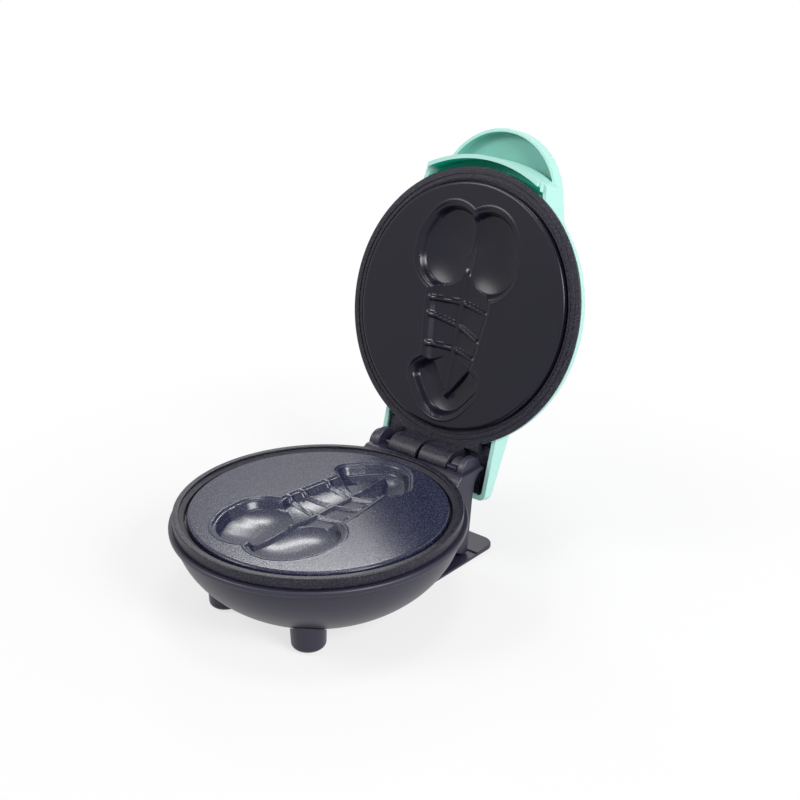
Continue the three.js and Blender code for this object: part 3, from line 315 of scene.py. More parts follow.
def surface(tree, shader, tint, marks, depth, roughness, spread, span=MARKS):
    """Gives the shader its colour, and from one noise its gloss and a bump of some mm."""
    tree.links.new(tint.outputs[MIXED], shader.inputs["Base Color"])
    gloss = add(tree, "ShaderNodeMapRange",
                {"From Min": span[0], "From Max": span[1], "To Min": roughness - spread,
                 "To Max": roughness + spread}, {"Value": (marks, "Fac")})
    tree.links.new(gloss.outputs["Result"], shader.inputs["Roughness"])
    bump = add(tree, "ShaderNodeBump", {"Strength": 1.0, "Distance": depth / 1000},
               {"Height": (marks, "Fac")})
    tree.links.new(bump.outputs["Normal"], shader.inputs["Normal"])


def moulded(name, base, light, roughness, spread, grain, depth, ior=1.53, level=0.5, painted_glint=None):
    """Injection-moulded plastic: an eroded grain on the tool leaves a fine even bump, and the
    colour and the gloss wander a little where the melt flowed. Grain and depth are in mm."""
    material, tree, shader, place = blank_finish(name, {"IOR": ior, "Specular IOR Level": level})
    flow = add(tree, "ShaderNodeTexNoise", {"Scale": per_mm(FLOW), "Detail": 2.0},
               {"Vector": (place, "Object")})
    erode = add(tree, "ShaderNodeTexNoise", {"Scale": per_mm(grain), "Detail": 3.0, "Roughness": 0.6},
                {"Vector": (place, "Object")})
    tint = add(tree, "ShaderNodeMix", {MIX_A: colour(base), MIX_B: colour(light)}, {0: (flow, "Fac")},
               COLOURS)
    # Painted glints: a lighter colour on the grain's higher values, wherever the light falls.
    if painted_glint:
        dots = add(tree, "ShaderNodeMapRange", {"From Min": PAINTED_GLINT_SPAN[0], "From Max": PAINTED_GLINT_SPAN[1]},
                   {"Value": (erode, "Fac")})
        tint = add(tree, "ShaderNodeMix", {MIX_B: colour(painted_glint)},
                   {0: (dots, "Result"), MIX_A: (tint, MIXED)}, COLOURS)
    surface(tree, shader, tint, erode, depth, roughness, spread)
    return material


# ABS moulded in mint: smooth and satin, with a soft wide highlight.
mint_abs = moulded("mint_abs", "#A0D1C8", "#AAD8CF", 0.34, 0.03, 0.45, 0.008)
# The same ABS in the handle's recess, left as eroded as its tool: matter, and with a darker colour that is
# painted shade.
recess_painted_shade_mint = moulded("recess_painted_shade_abs", "#76B6A8", "#83C0B3", 0.50, 0.05, 0.45, 0.030, level=0.35)
# The same ABS behind the visor, painted a deep green: painted shade for the unlit gap behind the visor.
visor_painted_shade_mint = moulded("visor_painted_shade_abs", "#0CBE9F", "#18C8AB", 0.42, 0.03, 0.45, 0.008, level=0.25)
# Satin near-black polypropylene of the bowl, stand and feet: a blue-grey sheen on a fine grain.
satin_black = moulded("satin_black_polypropylene", "#211F2F", "#292838", 0.38, 0.04, 0.40, 0.010,
                      ior=1.49, level=0.44)
# Phenolic trim with a coarser eroded grain, and lighter specks on it that are painted glints.
grained_black = moulded("grained_black_phenolic", "#0F0E18", "#14131E", 0.36, 0.12, 0.50, 0.075,
                        level=0.28, painted_glint="#454354")
# Natural rubber pads and plugs: dark and quite matt.
rubber = moulded("black_rubber", "#18181A", "#1F1F22", 0.80, 0.06, 0.60, 0.030, ior=1.52)
# Steatite ceramic and phenolic of the small electrical parts: chalky and off-white.
steatite = moulded("steatite_ceramic", "#DED7C8", "#E8E2D6", 0.62, 0.05, 0.50, 0.020, ior=1.6)
# Glass-fibre sleeve over a lead: matt, and woven finer than it shows here.
sleeve = moulded("glass_fibre_sleeve", "#D2CEC4", "#DEDAD2", 0.70, 0.08, 0.70, 0.060, ior=1.5)


def coated(name, base, light, fleck, roughness, spread, grain, depth, share, ior, level):
    """Cast aluminium with a sprayed fluoropolymer coat: fine orange peel, and mica flecks that are
    drawn coarser than real ones so that they show."""
    material, tree, shader, place = blank_finish(name, {"IOR": ior, "Specular IOR Level": level})
    cloud = add(tree, "ShaderNodeTexNoise", {"Scale": per_mm(CLOUD), "Detail": 3.0},
                {"Vector": (place, "Object")})
    spray = add(tree, "ShaderNodeTexNoise", {"Scale": per_mm(grain), "Detail": 2.0, "Roughness": 0.55},
                {"Vector": (place, "Object")})
    cells = add(tree, "ShaderNodeTexVoronoi", {"Scale": per_mm(grain * FLECK_SPACING), "Randomness": 1.0},
                {"Vector": (place, "Object")})
    tint = add(tree, "ShaderNodeMix", {MIX_A: colour(base), MIX_B: colour(light)}, {0: (cloud, "Fac")},
               COLOURS)
    dots = add(tree, "ShaderNodeMapRange", {"From Min": FLECKS[0], "From Max": FLECKS[1], "To Max": share},
               {"Value": (cells, "Distance")})
    tint = add(tree, "ShaderNodeMix", {MIX_B: colour(fleck)}, {0: (dots, "Result"), MIX_A: (tint, MIXED)},
               COLOURS)
    surface(tree, shader, tint, spray, depth, roughness, spread)
    return material


# The lower plate's coat carries pale flecks on blue-grey; the lid's is plain and darker.
fleck_coat = coated("flecked_non_stick_aluminium", "#1C1E31", "#26283D", "#7C7E9E",
                    0.20, 0.05, 0.45, 0.015, 0.62, 1.50, 0.36)
dark_coat = coated("dark_non_stick_aluminium", "#0F0E1A", "#151421", "#22212F",
                   0.24, 0.03, 0.50, 0.006, 0.20, 1.42, 0.34)


def rolled_metal(name, base, light, roughness, grain, depth):
    """Bare metal: the colour is in the reflection, broken up by fine marks from rolling or plating."""
    material, tree, shader, place = blank_finish(name, {"Metallic": 1.0})
    marks = add(tree, "ShaderNodeTexNoise", {"Scale": per_mm(grain), "Detail": 4.0, "Roughness": 0.65},
                {"Vector": (place, "Object")})
    tint = add(tree, "ShaderNodeMix", {MIX_A: colour(base), MIX_B: colour(light)}, {0: (marks, "Fac")},
               COLOURS)
    surface(tree, shader, tint, marks, depth, roughness, METAL_SPREAD, (0, 1))
    return material


# Zinc plate is bright, aluminised sheet softer, and a heater's sheath dulled by its heat.
zinc_steel = rolled_metal("zinc_plated_steel", "#B4B8BE", "#C6CACE", 0.30, 0.8, 0.010)
pan_steel = rolled_metal("aluminised_steel_sheet", "#A9ADB2", "#BCC0C4", 0.38, 3.0, 0.015)
sheath_steel = rolled_metal("heater_sheath_steel", "#77787C", "#8E8F93", 0.36, 1.2, 0.015)


def clear(name, base, light, roughness, ior):
    """Clear or tinted glass or polycarbonate, with a faint ripple from its mould."""
    material, tree, shader, place = blank_finish(
        name, {"IOR": ior, "Transmission Weight": 0.7, "Roughness": roughness})
    ripple = add(tree, "ShaderNodeTexNoise", {"Scale": per_mm(RIPPLE), "Detail": 1.0},
                 {"Vector": (place, "Object")})
    tint = add(tree, "ShaderNodeMix", {MIX_A: colour(base), MIX_B: colour(light)}, {0: (ripple, "Fac")},
               COLOURS)
    tree.links.new(tint.outputs[MIXED], shader.inputs["Base Color"])
    bump = add(tree, "ShaderNodeBump", {"Strength": 1.0, "Distance": RIPPLE_DEPTH / 1000},
               {"Height": (ripple, "Fac")})
    tree.links.new(bump.outputs["Normal"], shader.inputs["Normal"])
    return material


# Polished red polycarbonate for the lens and plain glass for its lamp: see-through, and they shine.
lens_clear = clear("red_polycarbonate", "#D2452E", "#DE5A3E", 0.12, 1.58)
lamp_clear = clear("lamp_glass", "#E0E6EA", "#ECF0F2", 0.05, 1.5)

# The cook plates

LOBE, SHAFT, TIP = 5.6, 4.4, 6.4           # depths of the mould's hollows
LOBES = [[(s * 9.5, -29.3, 14.5), (s * 11.4, -25.0, 14.9), (s * 12.4, -20.5, 14.2)] for s in (-1, 1)]
HOLLOWS = [(LOBES[0], LOBE), (LOBES[1], LOBE), ([(0, -2.0, 15.8), (0, 24.0, 12.6)], SHAFT),
           ([(0, 36.0, 14.2), (13.0, 33.8, 5.4), (-13.0, 33.8, 5.4)], TIP)]
RIM_WIDTH, LIP_RUN = 1.9, 0.9              # where a hollow's lip turns down, and how far it runs
WALL_SPAN = (-0.6, 2.1)                    # from outside its outline to inside it
DISH_REACH = 0.95                          # share of its radius over which the floor still falls
LIP_SHARE, WALL_SHARE, DISH_SHARE = 0.10, 0.52, 0.38
BEAD, BEAD_HALF = 0.18, 0.8                # faint raised line just outside the lip
RIB_HEIGHT, RIB_SPAN = 1.2, (0.45, 1.6)
BANDS = [(-1.6, 0.8, 2.8), (9.0, -3.0, 6.6), (19.6, 0.4, 3.4)]   # place, and how far the ends stray
BAND_HALF = 17.7
WEDGE_DEPTH, WEDGE_EDGE = 4.2, 0.7
WEDGE_HALF, WEDGE_FRONT, WEDGE_POINT = 10.6, 27.0, 42.5
FAR = 9.0                                  # any distance at which no rib is left
WAYS = 96                                  # directions in which an outline is measured


def reach(points, rounds):
    """Distance of each point from the outline drawn tight round some discs, inside it negative."""
    turns = np.linspace(0, math.tau, WAYS, endpoint=False)
    ways = np.stack([np.cos(turns), np.sin(turns)])
    far = np.max([x * ways[0] + y * ways[1] + r for x, y, r in rounds], axis=0)
    return np.max(points @ ways - far, axis=1)


def ease(low, high, value):
    t = np.clip((value - low) / (high - low), 0, 1)
    return t * t * (3 - 2 * t)


def hollow_depth(points, rounds, depth, raise_by=0.0):
    """Depth of one hollow: a lip that turns down, a steep wall and a dished floor. Raised, it is
    that much shallower and narrower, as a rib lies in it."""
    inset = -reach(points, rounds) - raise_by
    lip = LIP_SHARE * ease(-RIM_WIDTH, LIP_RUN - RIM_WIDTH, inset)
    wall = WALL_SHARE * ease(*WALL_SPAN, inset)
    floor_radius = DISH_REACH * rounds[0][2]
    dish = DISH_SHARE * (1 - (1 - np.clip(inset / floor_radius, 0, 1)) ** 2)
    return depth * (lip + wall + dish) - raise_by * (inset > -RIM_WIDTH)


def mould_depth(points):
    """Depth of the whole mould: its hollows, the wedge in its tip, the ribs of the bands and of the
    middle line, and the bead round it."""
    x, y = points[:, 0], points[:, 1]
    depths, raised = [], []
    outside = np.max([-reach(points, rounds) for rounds, _ in HOLLOWS], axis=0)
    bead = BEAD * (1 - ease(0, BEAD_HALF, np.abs(outside + RIM_WIDTH + BEAD_HALF / 2)))
    half = WEDGE_HALF * (WEDGE_POINT - y) / (WEDGE_POINT - WEDGE_FRONT)
    wedge = ease(-WEDGE_EDGE, WEDGE_EDGE, half - np.abs(x))
    for rounds, depth in HOLLOWS:
        plain = hollow_depth(points, rounds, depth)
        lifted = hollow_depth(points, rounds, depth, RIB_HEIGHT)
        if depth == TIP:
            plain = plain - wedge * np.maximum(plain - WEDGE_DEPTH, 0)
            lifted = lifted - wedge * np.maximum(lifted - WEDGE_DEPTH + RIB_HEIGHT, 0)
        depths.append(plain)
        raised.append(lifted)
    deep = np.max(depths, axis=0)
    over = np.maximum(np.max(raised, axis=0), 0)
    away = np.where(y < WEDGE_POINT, np.abs(x), FAR)
    for place, left, right in BANDS:
        stray = np.where(x < 0, left, right) * np.abs(x) / BAND_HALF
        away = np.minimum(away, np.abs(y - place - stray))
    rib = 1 - ease(*RIB_SPAN, away)
    return deep - rib * np.clip(deep - over, 0, RIB_HEIGHT) - bead


BACK_WALL = 1.6                            # metal round the hollows, behind the plate
BACK_START, BACK_DEPTH = 0.6, 5.0          # depth from which the back bulges, and how far for the tip
PLATE_BACK = -3.2
# Inset and height of the plate's rounded edge
EDGE_ROUND = [(1.3, 0), (0.6, -0.14), (0.15, -0.5), (0, -0.9), (0, PLATE_BACK), (0.6, PLATE_BACK)]
BACK_RINGS = 14
GRID = (122, 138)
EVEN_SHARE = 0.72                          # the rest of the grid's spacing crowds it over the mould


def plate_back(points):
    """How far the back bulges behind the hollows."""
    deep = [hollow_depth(points, [(x, y, r + BACK_WALL) for x, y, r in rounds], depth)
            for rounds, depth in HOLLOWS]
    return np.clip(np.max(deep, axis=0) - BACK_START, 0, None) * BACK_DEPTH / TIP


def cook_plate(radius):
    """A disc face up at height zero, with the mould in it: a round-edged grid whose border is
    drawn down and then in again under the plate, ring by ring."""
    bm = bmesh.new()
    fine = 2
    bmesh.ops.create_grid(bm, x_segments=GRID[0] * fine, y_segments=GRID[1] * fine, size=1)
    flat = np.array([v.co[:2] for v in bm.verts])
    across = EVEN_SHARE * flat[:, 0] + (1 - EVEN_SHARE) * flat[:, 0] ** 3
    along = flat[:, 1]
    points = np.stack([across * np.sqrt(1 - along ** 2 / 2), along * np.sqrt(1 - across ** 2 / 2)], 1)
    last = radius - EDGE_ROUND[0][0]
    inner = radius - EDGE_ROUND[-1][0]
    points = points * last
    for v, point, depth in zip(bm.verts, points, mould_depth(points)):
        v.co = (*point, -depth)
    rings = [(radius - inset, z) for inset, z in EDGE_ROUND[1:]]
    rings += [(inner * (1 - i / BACK_RINGS), PLATE_BACK) for i in range(1, BACK_RINGS)]
    border = [e for e in bm.edges if e.is_boundary]
    for r, z in rings:
        new = bmesh.ops.extrude_edge_only(bm, edges=border)["geom"]
        border = [e for e in new if isinstance(e, bmesh.types.BMEdge) and e.is_boundary]
        ring = [v for v in new if isinstance(v, bmesh.types.BMVert)]
        bmesh.ops.scale(bm, verts=ring, vec=(r / last, r / last, 1))
        spots = np.array([v.co[:2] for v in ring])
        for v, lower in zip(ring, plate_back(spots)):
            v.co.z = z - (lower if r < inner else 0)
        last = r
    bmesh.ops.holes_fill(bm, edges=border)
    bmesh.ops.recalc_face_normals(bm, faces=bm.faces)
    return bm


piece("lower_cook_plate", moved(cook_plate(PLATE), Matrix.Translation((0, 0, LOWER_FACE))),
      BASE, "base", fleck_coat, "non_stick", "lower_plate")
flip = Matrix.Translation((0, 0, UPPER_FACE)) @ Matrix.Diagonal((1, 1, -1, 1))
piece("lid_cook_plate", moved(cook_plate(LID_PLATE), flip),
      LID, "lid", dark_coat, "non_stick_dark", "upper_plate")

# The base: bowl, trim ring, feet

RIM_IN, RIM_ROUND, BOTTOM_ROUND = 58.5, 0.75, 1.6
POST, POST_TOP = 4.6, -17.0                # posts in the bowl for its screws
SCREW_WAY, SCREW_SEAT = 3.1, -19.5
TOOL_TOP = 1.0                             # above all that a tool cuts


def bowl_body(grow):
    """The bowl and ring as one solid, all round that much bigger, to cut what meets them."""
    side = arc(BOWL + grow, BOWL_HEIGHT + grow, BOWL_CROWN, BOWL_BOTTOM - grow, RIM_LOW - grow, 24)
    return turned([(0, BOWL_BOTTOM - grow)] + side + [
        (RIM + grow, RIM_LOW - grow), (RIM + grow, RIM_TOP + grow), (RING_OUT + grow, RIM_TOP + grow),
        (RING_OUT + grow, TOOL_TOP), (0, TOOL_TOP)], TOOL_FACETS)


def bowl():
    outer = arc(BOWL, BOWL_HEIGHT, BOWL_CROWN, BOWL_BOTTOM, RIM_LOW, 32)
    inner = arc(BOWL - WALL, BOWL_HEIGHT - WALL, BOWL_CROWN, BOWL_BOTTOM + WALL, RIM_LOW, 20)
    bm = turned([(0, BOWL_BOTTOM)] + outer + [(RIM, RIM_LOW), (RIM, RIM_TOP), (RIM_IN, RIM_TOP)] +
                [(min(r, RIM_IN), z) for r, z in reversed(inner)] + [(0, BOWL_BOTTOM + WALL)],
                BOWL_FACETS)
    soften(bm, RIM_ROUND, corner(RIM, RIM_LOW))
    soften(bm, RIM_ROUND, corner(RIM, RIM_TOP))
    soften(bm, BOTTOM_ROUND, corner(outer[0][0], BOWL_BOTTOM), segments=4)
    posts = [upright(POST, place, BOWL_BOTTOM + 0.6, POST_TOP, HOLE_FACETS) for place in POSTS]
    holes = [upright(SCREW_WAY, place, BOWL_BOTTOM - 2, SCREW_SEAT, PIN_FACETS) for place in POSTS]
    return worked(joined(bm, *posts), *holes)


piece("bowl", bowl(), BASE, "base", satin_black, "satin_black", "lower_shell")

RING_WELL = -1.9                           # lowest point of the slope inside the ring's step
SPIGOT, RING_SHELF = 58.2, 53.4            # the ring's part inside the bowl, and what carries the plate


def trim_ring():
    ledge = LOWER_FACE - 3.5
    under = RIM_TOP + FIT
    bm = turned([(RING_STEP, 0), (RING_OUT, 0), (RING_OUT, under), (SPIGOT, under), (SPIGOT, ledge - 2),
                 (RING_SHELF, ledge - 2), (RING_SHELF, ledge), (RING_IN, ledge), (RING_IN, RING_WELL),
                 (RING_STEP, -1.0)], BOWL_FACETS, closed=True)
    for r, z, round_by in ((RING_STEP, 0, 0.35), (RING_OUT, 0, 0.5), (RING_IN, RING_WELL, 0.3),
                           (RING_OUT, under, 0.4)):
        soften(bm, round_by, corner(r, z))
    return bm


piece("trim_ring", trim_ring(), BASE, "base", grained_black, "textured_black", "lower_ring")

LEG = (24.32, -32.51)
LEG_LOW, LEG_TOP, LEG_LONG, LEG_ROUND = 7.1, 7.6, 15.0, 1.9   # radii at its ends, length, rounding
PAD, REAR_PAD, PAD_HIGH = 4.6, 4.0, 1.6
REAR_PAD_AT = (24.0, 74.8)
SEAT_FIT, STEM = 0.3, 2.2


def leg(place):
    """A front foot: tapered, round at the bottom, with the seat of its pad, and a stem that goes up
    into the bowl."""
    bm = turned([(0, SOLE), (LEG_LOW, SOLE), (LEG_TOP, SOLE + LEG_LONG), (0, SOLE + LEG_LONG)], HUB_FACETS)
    soften(bm, LEG_ROUND, corner(LEG_LOW, SOLE), segments=5)
    moved(bm, Matrix.Translation((*place, 0)))
    bm = worked(bm, bowl_body(FIT))
    stem = upright(STEM, place, SOLE + 1.6, SOLE + 20.0, HOLE_FACETS)
    seat = upright(PAD + SEAT_FIT, place, SOLE - 1, SOLE + 1.1, PAD_FACETS)
    return worked(joined(bm, stem), seat)


def pad(radius, place):
    bm = turned([(0, TABLE), (radius, TABLE), (radius, TABLE + PAD_HIGH), (0, TABLE + PAD_HIGH)],
                PAD_FACETS)
    return soften(moved(bm, Matrix.Translation((*place, 0))), 0.35)


for name, side in SIDES:
    under_leg = (side * LEG[0], LEG[1])
    under_heel = (side * REAR_PAD_AT[0], REAR_PAD_AT[1])
    piece(f"foot_{name}", leg(under_leg), BASE, "base", satin_black, "satin_black", f"front_foot_{name}")
    for where, radius, place in (("front", PAD, under_leg), ("rear", REAR_PAD, under_heel)):
        piece(f"{where}_rubber_pad_{name}", pad(radius, place), BASE, "base", rubber, "rubber",
              f"{where}_pad_{name}")

# The stand behind the bowl, which carries the hinge

STAND_HALF = 28.5
FOOT_TOP, TOE_TOP = TABLE + 2.5, TABLE + 1.8
STAND_FOOT = TOE_TOP + FIT
PANEL_TOP, PANEL_TOP_Y, PANEL_FOOT_Y = -12.6, 69.0, 65.8
PANEL_SLOPE = (PANEL_TOP_Y - PANEL_FOOT_Y) / (PANEL_TOP - STAND_FOOT)
LEDGE_TOP, LEDGE_UNDER, LEDGE_REAR = -1.2, -3.6, 76.6
NECK_REAR, COLUMN_FRONT = 71.0, 62.5
STAND_INSIDE, STAND_ROOF = 36.0, -9.2      # reaches into the bowl's body, which cuts it off
COVER_HALF, COVER_THICK = 25.2, 1.8
HINGE_GAP, GAP_HALF = 0.35, 17.4           # room for the lid's knuckles
EAR_IN, EAR_OUT = 23.0, 26.5
HUB, HUB_DROP, BARREL = 6.0, 0.6, 5.2


def panel_rear(z):
    """Where the stand's sloping back lies at a height."""
    return PANEL_TOP_Y + (z - PANEL_TOP) * PANEL_SLOPE


def sheet(half, low, high, depth, proud):
    """A slab along the stand's back, from some depth in it to some way proud of it."""
    return side_prism([(panel_rear(low) - depth, low), (panel_rear(low) + proud, low),
                       (panel_rear(high) + proud, high), (panel_rear(high) - depth, high)], -half, half)


def stand():
    front = RING_OUT + FIT
    body = side_prism([
        (front, LEDGE_TOP), (LEDGE_REAR, LEDGE_TOP), (LEDGE_REAR, LEDGE_UNDER), (NECK_REAR, LEDGE_UNDER),
        (PANEL_TOP_Y, PANEL_TOP), (PANEL_FOOT_Y, STAND_FOOT), (COLUMN_FRONT, STAND_FOOT),
        (STAND_INSIDE, STAND_FOOT + 15.0), (STAND_INSIDE, STAND_ROOF), (57.0, -4.5),
        ((57.0 + front) / 2, -2.4)], -STAND_HALF, STAND_HALF)
    soften(body, 2.6, lambda e: all(abs(v.co.y - NECK_REAR) < NEAR for v in e.verts), angle=10, segments=5)
    soften(body, 0.8, lambda e: all(abs(abs(v.co.x) - STAND_HALF) < NEAR for v in e.verts))
    body = worked(
        body,
        bowl_body(FIT),
        along_hinge(KNUCKLE + HINGE_GAP, -GAP_HALF, GAP_HALF, BARREL_FACETS),
        block((-GAP_HALF, GAP_HALF), (HINGE_Y - KNUCKLE - HINGE_GAP, LEDGE_REAR + 1), (HINGE_Z, TOOL_TOP)),
        block((-22.5, 22.5), (35.0, LEDGE_REAR), (STAND_FOOT + 4.6, -17.5)),
        block((-25.7, 25.7), (35.0, COLUMN_FRONT), (STAND_FOOT - 1, -17.5)),
        sheet(COVER_HALF + FIT, STAND_FOOT + 3.4, -12.7, COVER_THICK + FIT, 1.0))
    ears = [soften(along_hinge(KNUCKLE, side * EAR_IN, side * EAR_OUT, BARREL_FACETS), 0.7, angle=60)
            for _, side in SIDES]
    low_block = soften(block((17.6, 22.6), (HINGE_Y - KNUCKLE + FIT, 66.0), (-3.4, TOOL_TOP)), 0.5)
    hub = soften(along_hinge(HUB, -24.7, -29.4, HUB_FACETS, HUB_DROP), 0.7, angle=60)
    barrel = soften(along_hinge(BARREL, 17.8, 23.4, HUB_FACETS), 0.4, angle=60)
    body = joined(body, *ears, low_block, hub, barrel)
    return worked(body, along_hinge(PIN_WAY, -30.0, 25.5, PIN_FACETS))


piece("hinge_stand", stand(), BASE, "base", satin_black, "satin_black", "rear_stand")

FOOT_HALF, FOOT_FRONT, FOOT_REAR, HEEL_FRONT = 32.4, 30.0, 82.3, 67.8
FOOT_CORNER = 6.5


def foot():
    """The plate under the stand, thin at its toe and thick at its heel, with two round corners."""
    def rear_corner(e):
        return rise(e) > 0.5 and all(abs(v.co.y - FOOT_REAR) < NEAR for v in e.verts)

    layers = []
    for front, top, round_by in ((FOOT_FRONT, TOE_TOP, 0.3), (HEEL_FRONT, FOOT_TOP, 0.5)):
        bm = block((-FOOT_HALF, FOOT_HALF), (front, FOOT_REAR), (0, 1))
        soften(bm, FOOT_CORNER, rear_corner, segments=12)
        moved(bm, Matrix.Translation((0, 0, SOLE)) @ Matrix.Diagonal((1, 1, top - SOLE, 1)))
        layers.append(soften(bm, round_by, above(SOLE + 0.2), angle=60))
    seats = [upright(REAR_PAD + SEAT_FIT, (side * REAR_PAD_AT[0], REAR_PAD_AT[1]), TABLE - 1, TABLE + 1.9,
                     PIN_FACETS) for _, side in SIDES]
    return worked(joined(*layers), *seats)


piece("foot_plate", foot(), BASE, "base", satin_black, "satin_black", "rear_foot")

OUTWARD = Vector((0, 1, -PANEL_SLOPE)).normalized()
SUPPLY = -29.0                             # height of the bushing on the stand's back


def on_panel(x, z, out=0.0):
    """A place on the stand's back, or that far out from it."""
    return Vector((x, panel_rear(z), z)) + OUTWARD * out


def panel_hole(radius, x, z, steps):
    return rod(radius, on_panel(x, z, -6), on_panel(x, z, 2), steps)


def back_cover():
    cover = soften(sheet(COVER_HALF, STAND_FOOT + 3.7, -13.0, COVER_THICK, 0.0), 0.45, angle=40)
    holes = [panel_hole(1.8, side * COVER_SCREW[0], COVER_SCREW[1], HOLE_FACETS) for _, side in SIDES]
    return worked(cover, panel_hole(4.7, 0, SUPPLY, PAD_FACETS), *holes)


def supply_bushing():
    bore, neck, flange, low, face, top = 2.6, 4.4, 6.0, -8.0, 0.3, 3.0
    bm = turned([(bore, low), (neck, low), (neck, face), (flange, face), (flange, top), (bore, top)],
                HUB_FACETS, closed=True)
    soften(bm, 0.7, corner(flange, top))
    soften(bm, 0.5, corner(bore, top))
    return moved(bm, Matrix.Translation(on_panel(0, SUPPLY)) @ pointing(OUTWARD))


piece("back_cover", back_cover(), BASE, "base", satin_black, "satin_black", "stand_cover")
piece("supply_bushing", supply_bushing(), BASE, "base", rubber, "rubber", "cord_bushing")

SCREW_HEAD, SCREW_HEAD_HIGH, SCREW_SHANK = 2.8, 1.4, 1.5
DRIVER_HALF, DRIVER_THIN = 1.5, 0.3


def screw(length, place, direction):
    """A cross-head screw: a domed head behind its seat, with the recess of its driver."""
    bm = turned([(0, -SCREW_HEAD_HIGH), (SCREW_HEAD, -SCREW_HEAD_HIGH), (SCREW_HEAD, 0), (SCREW_SHANK, 0),
                 (SCREW_SHANK, length), (0, length)], PIN_FACETS)
    soften(bm, 0.7, corner(SCREW_HEAD, -SCREW_HEAD_HIGH))
    long, thin = (-DRIVER_HALF, DRIVER_HALF), (-DRIVER_THIN, DRIVER_THIN)
    deep = (-SCREW_HEAD_HIGH - 1, -0.5)
    bm = worked(bm, block(long, thin, deep), block(thin, long, deep))
    return moved(bm, Matrix.Translation(place) @ pointing(direction))


for i, (x, y) in enumerate(POSTS):
    piece(f"bowl_screw_{i + 1}", screw(11.4, (x, y, SCREW_SEAT - FIT), (0, 0, 1)), BASE, "base",
          zinc_steel, "steel", f"lower_screw_{i + 1}")
for name, side in SIDES:
    piece(f"cover_fixing_{name}", screw(7.3, on_panel(side * COVER_SCREW[0], COVER_SCREW[1], FIT), -OUTWARD),
          BASE, "base", zinc_steel, "steel", f"cover_screw_{name}")
    piece(f"tail_fixing_{name}", screw(4.0, (side * TAIL_SCREW[0], TAIL_SCREW[1], 5.1), (0, 0, 1)),
          LID, "lid", zinc_steel, "steel", f"tail_screw_{name}")

PIN = 1.6
pin = soften(along_hinge(PIN, -25.2, 25.2, PIN_FACETS), 0.3, angle=60)
piece("hinge_rod", pin, BASE, "base", zinc_steel, "steel", "hinge_pin")
plug = soften(along_hinge(PIN, -28.5, -25.5, PIN_FACETS), 0.3, angle=60)
piece("hinge_plug", plug, BASE, "base", rubber, "rubber", "hinge_pin_cap")

# The lid's black frame, with the knuckles of the hinge

RIDGES, RIDGE_TOP = (57.0, 59.2), 1.55     # two fine ridges round the frame's face
FRAME_BACK = 6.6
TONGUE_HALF, TONGUE_DEEP = 25, 4.2
NECK_IN, NECK_OUT = 59.8, 61.2
LINER_HALF, LINER_END, LINER_CORNER = 29.6, 80.1, 3.0


def frame_ring():
    ridges = [point for r in RIDGES for point in ((r, FRAME_FACE), (r + 0.15, RIDGE_TOP),
                                                  (r + 0.55, RIDGE_TOP), (r + 0.7, FRAME_FACE))]
    ring = turned([(FRAME_IN, FRAME_FACE)] + ridges + [
        (FRAME_OUT, FRAME_FACE), (FRAME_OUT, 2.75), (60.1, 2.75), (59.1, 7.0), (57.3, 7.0), (57.3, 5.3),
        (54.5, 5.3), (54.5, 3.3), (FRAME_IN, 3.3)], BOWL_FACETS, closed=True)
    return soften(ring, 0.3, corner(FRAME_OUT, FRAME_FACE))


def knuckles():
    """The lid's two knuckles, each with the block that carries it."""
    parts = []
    for _, side in SIDES:
        near, far = sorted((side * 0.85, side * 17.0))
        parts.append(soften(along_hinge(KNUCKLE, near, far, BARREL_FACETS), 0.5, angle=60))
        parts.append(block((near, far), (HINGE_Y - KNUCKLE, 70.5), (HINGE_Z, FRAME_BACK)))
    return parts


def lid_frame():
    across = (-TONGUE_HALF, TONGUE_HALF)
    tongue = worked(block(across, (31.6, NECK_OUT), (FRAME_FACE, TONGUE_DEEP)),
                    upright(FRAME_IN, (0, 0), 0, 6, BOWL_FACETS))
    wall = block(across, (NECK_IN, NECK_OUT), (2.05, FRAME_BACK))
    bridge = block((-17, 17), (NECK_IN, 66.6), (2.1, TONGUE_DEEP))
    neck = block(across, (NECK_IN, 64.6), (5.4, FRAME_BACK))
    liner = plan_prism([
        (-LINER_HALF, 58.4), (LINER_HALF, 58.4), (LINER_HALF, LINER_END - LINER_CORNER),
        (LINER_HALF - LINER_CORNER, LINER_END), (LINER_CORNER - LINER_HALF, LINER_END),
        (-LINER_HALF, LINER_END - LINER_CORNER)], 5.2, FRAME_BACK)
    liner = worked(liner, upright(RIM + FIT, (0, 0), 4, 8, BOWL_FACETS))
    lug = side_prism([(62.7, -0.9), (66.0, -0.9), (66.0, 2.5), (NECK_OUT, TONGUE_DEEP),
                      (NECK_IN, TONGUE_DEEP), (NECK_IN, 2.0), (62.7, 2.0)], -22.6, -17.6)
    whole = joined(frame_ring(), tongue, wall, bridge, neck, liner, *knuckles(), lug)
    screw_ways = [upright(1.8, (side * TAIL_SCREW[0], TAIL_SCREW[1]), 4, 8, HOLE_FACETS) for _, side in SIDES]
    return worked(whole, along_hinge(PIN_WAY, -24, 24, PIN_FACETS), *screw_ways)


piece("lid_trim", lid_frame(), LID, "lid", grained_black, "textured_black", "lid_frame")

# The lid shell: dome, chin, handle and hinge cover in one mint moulding

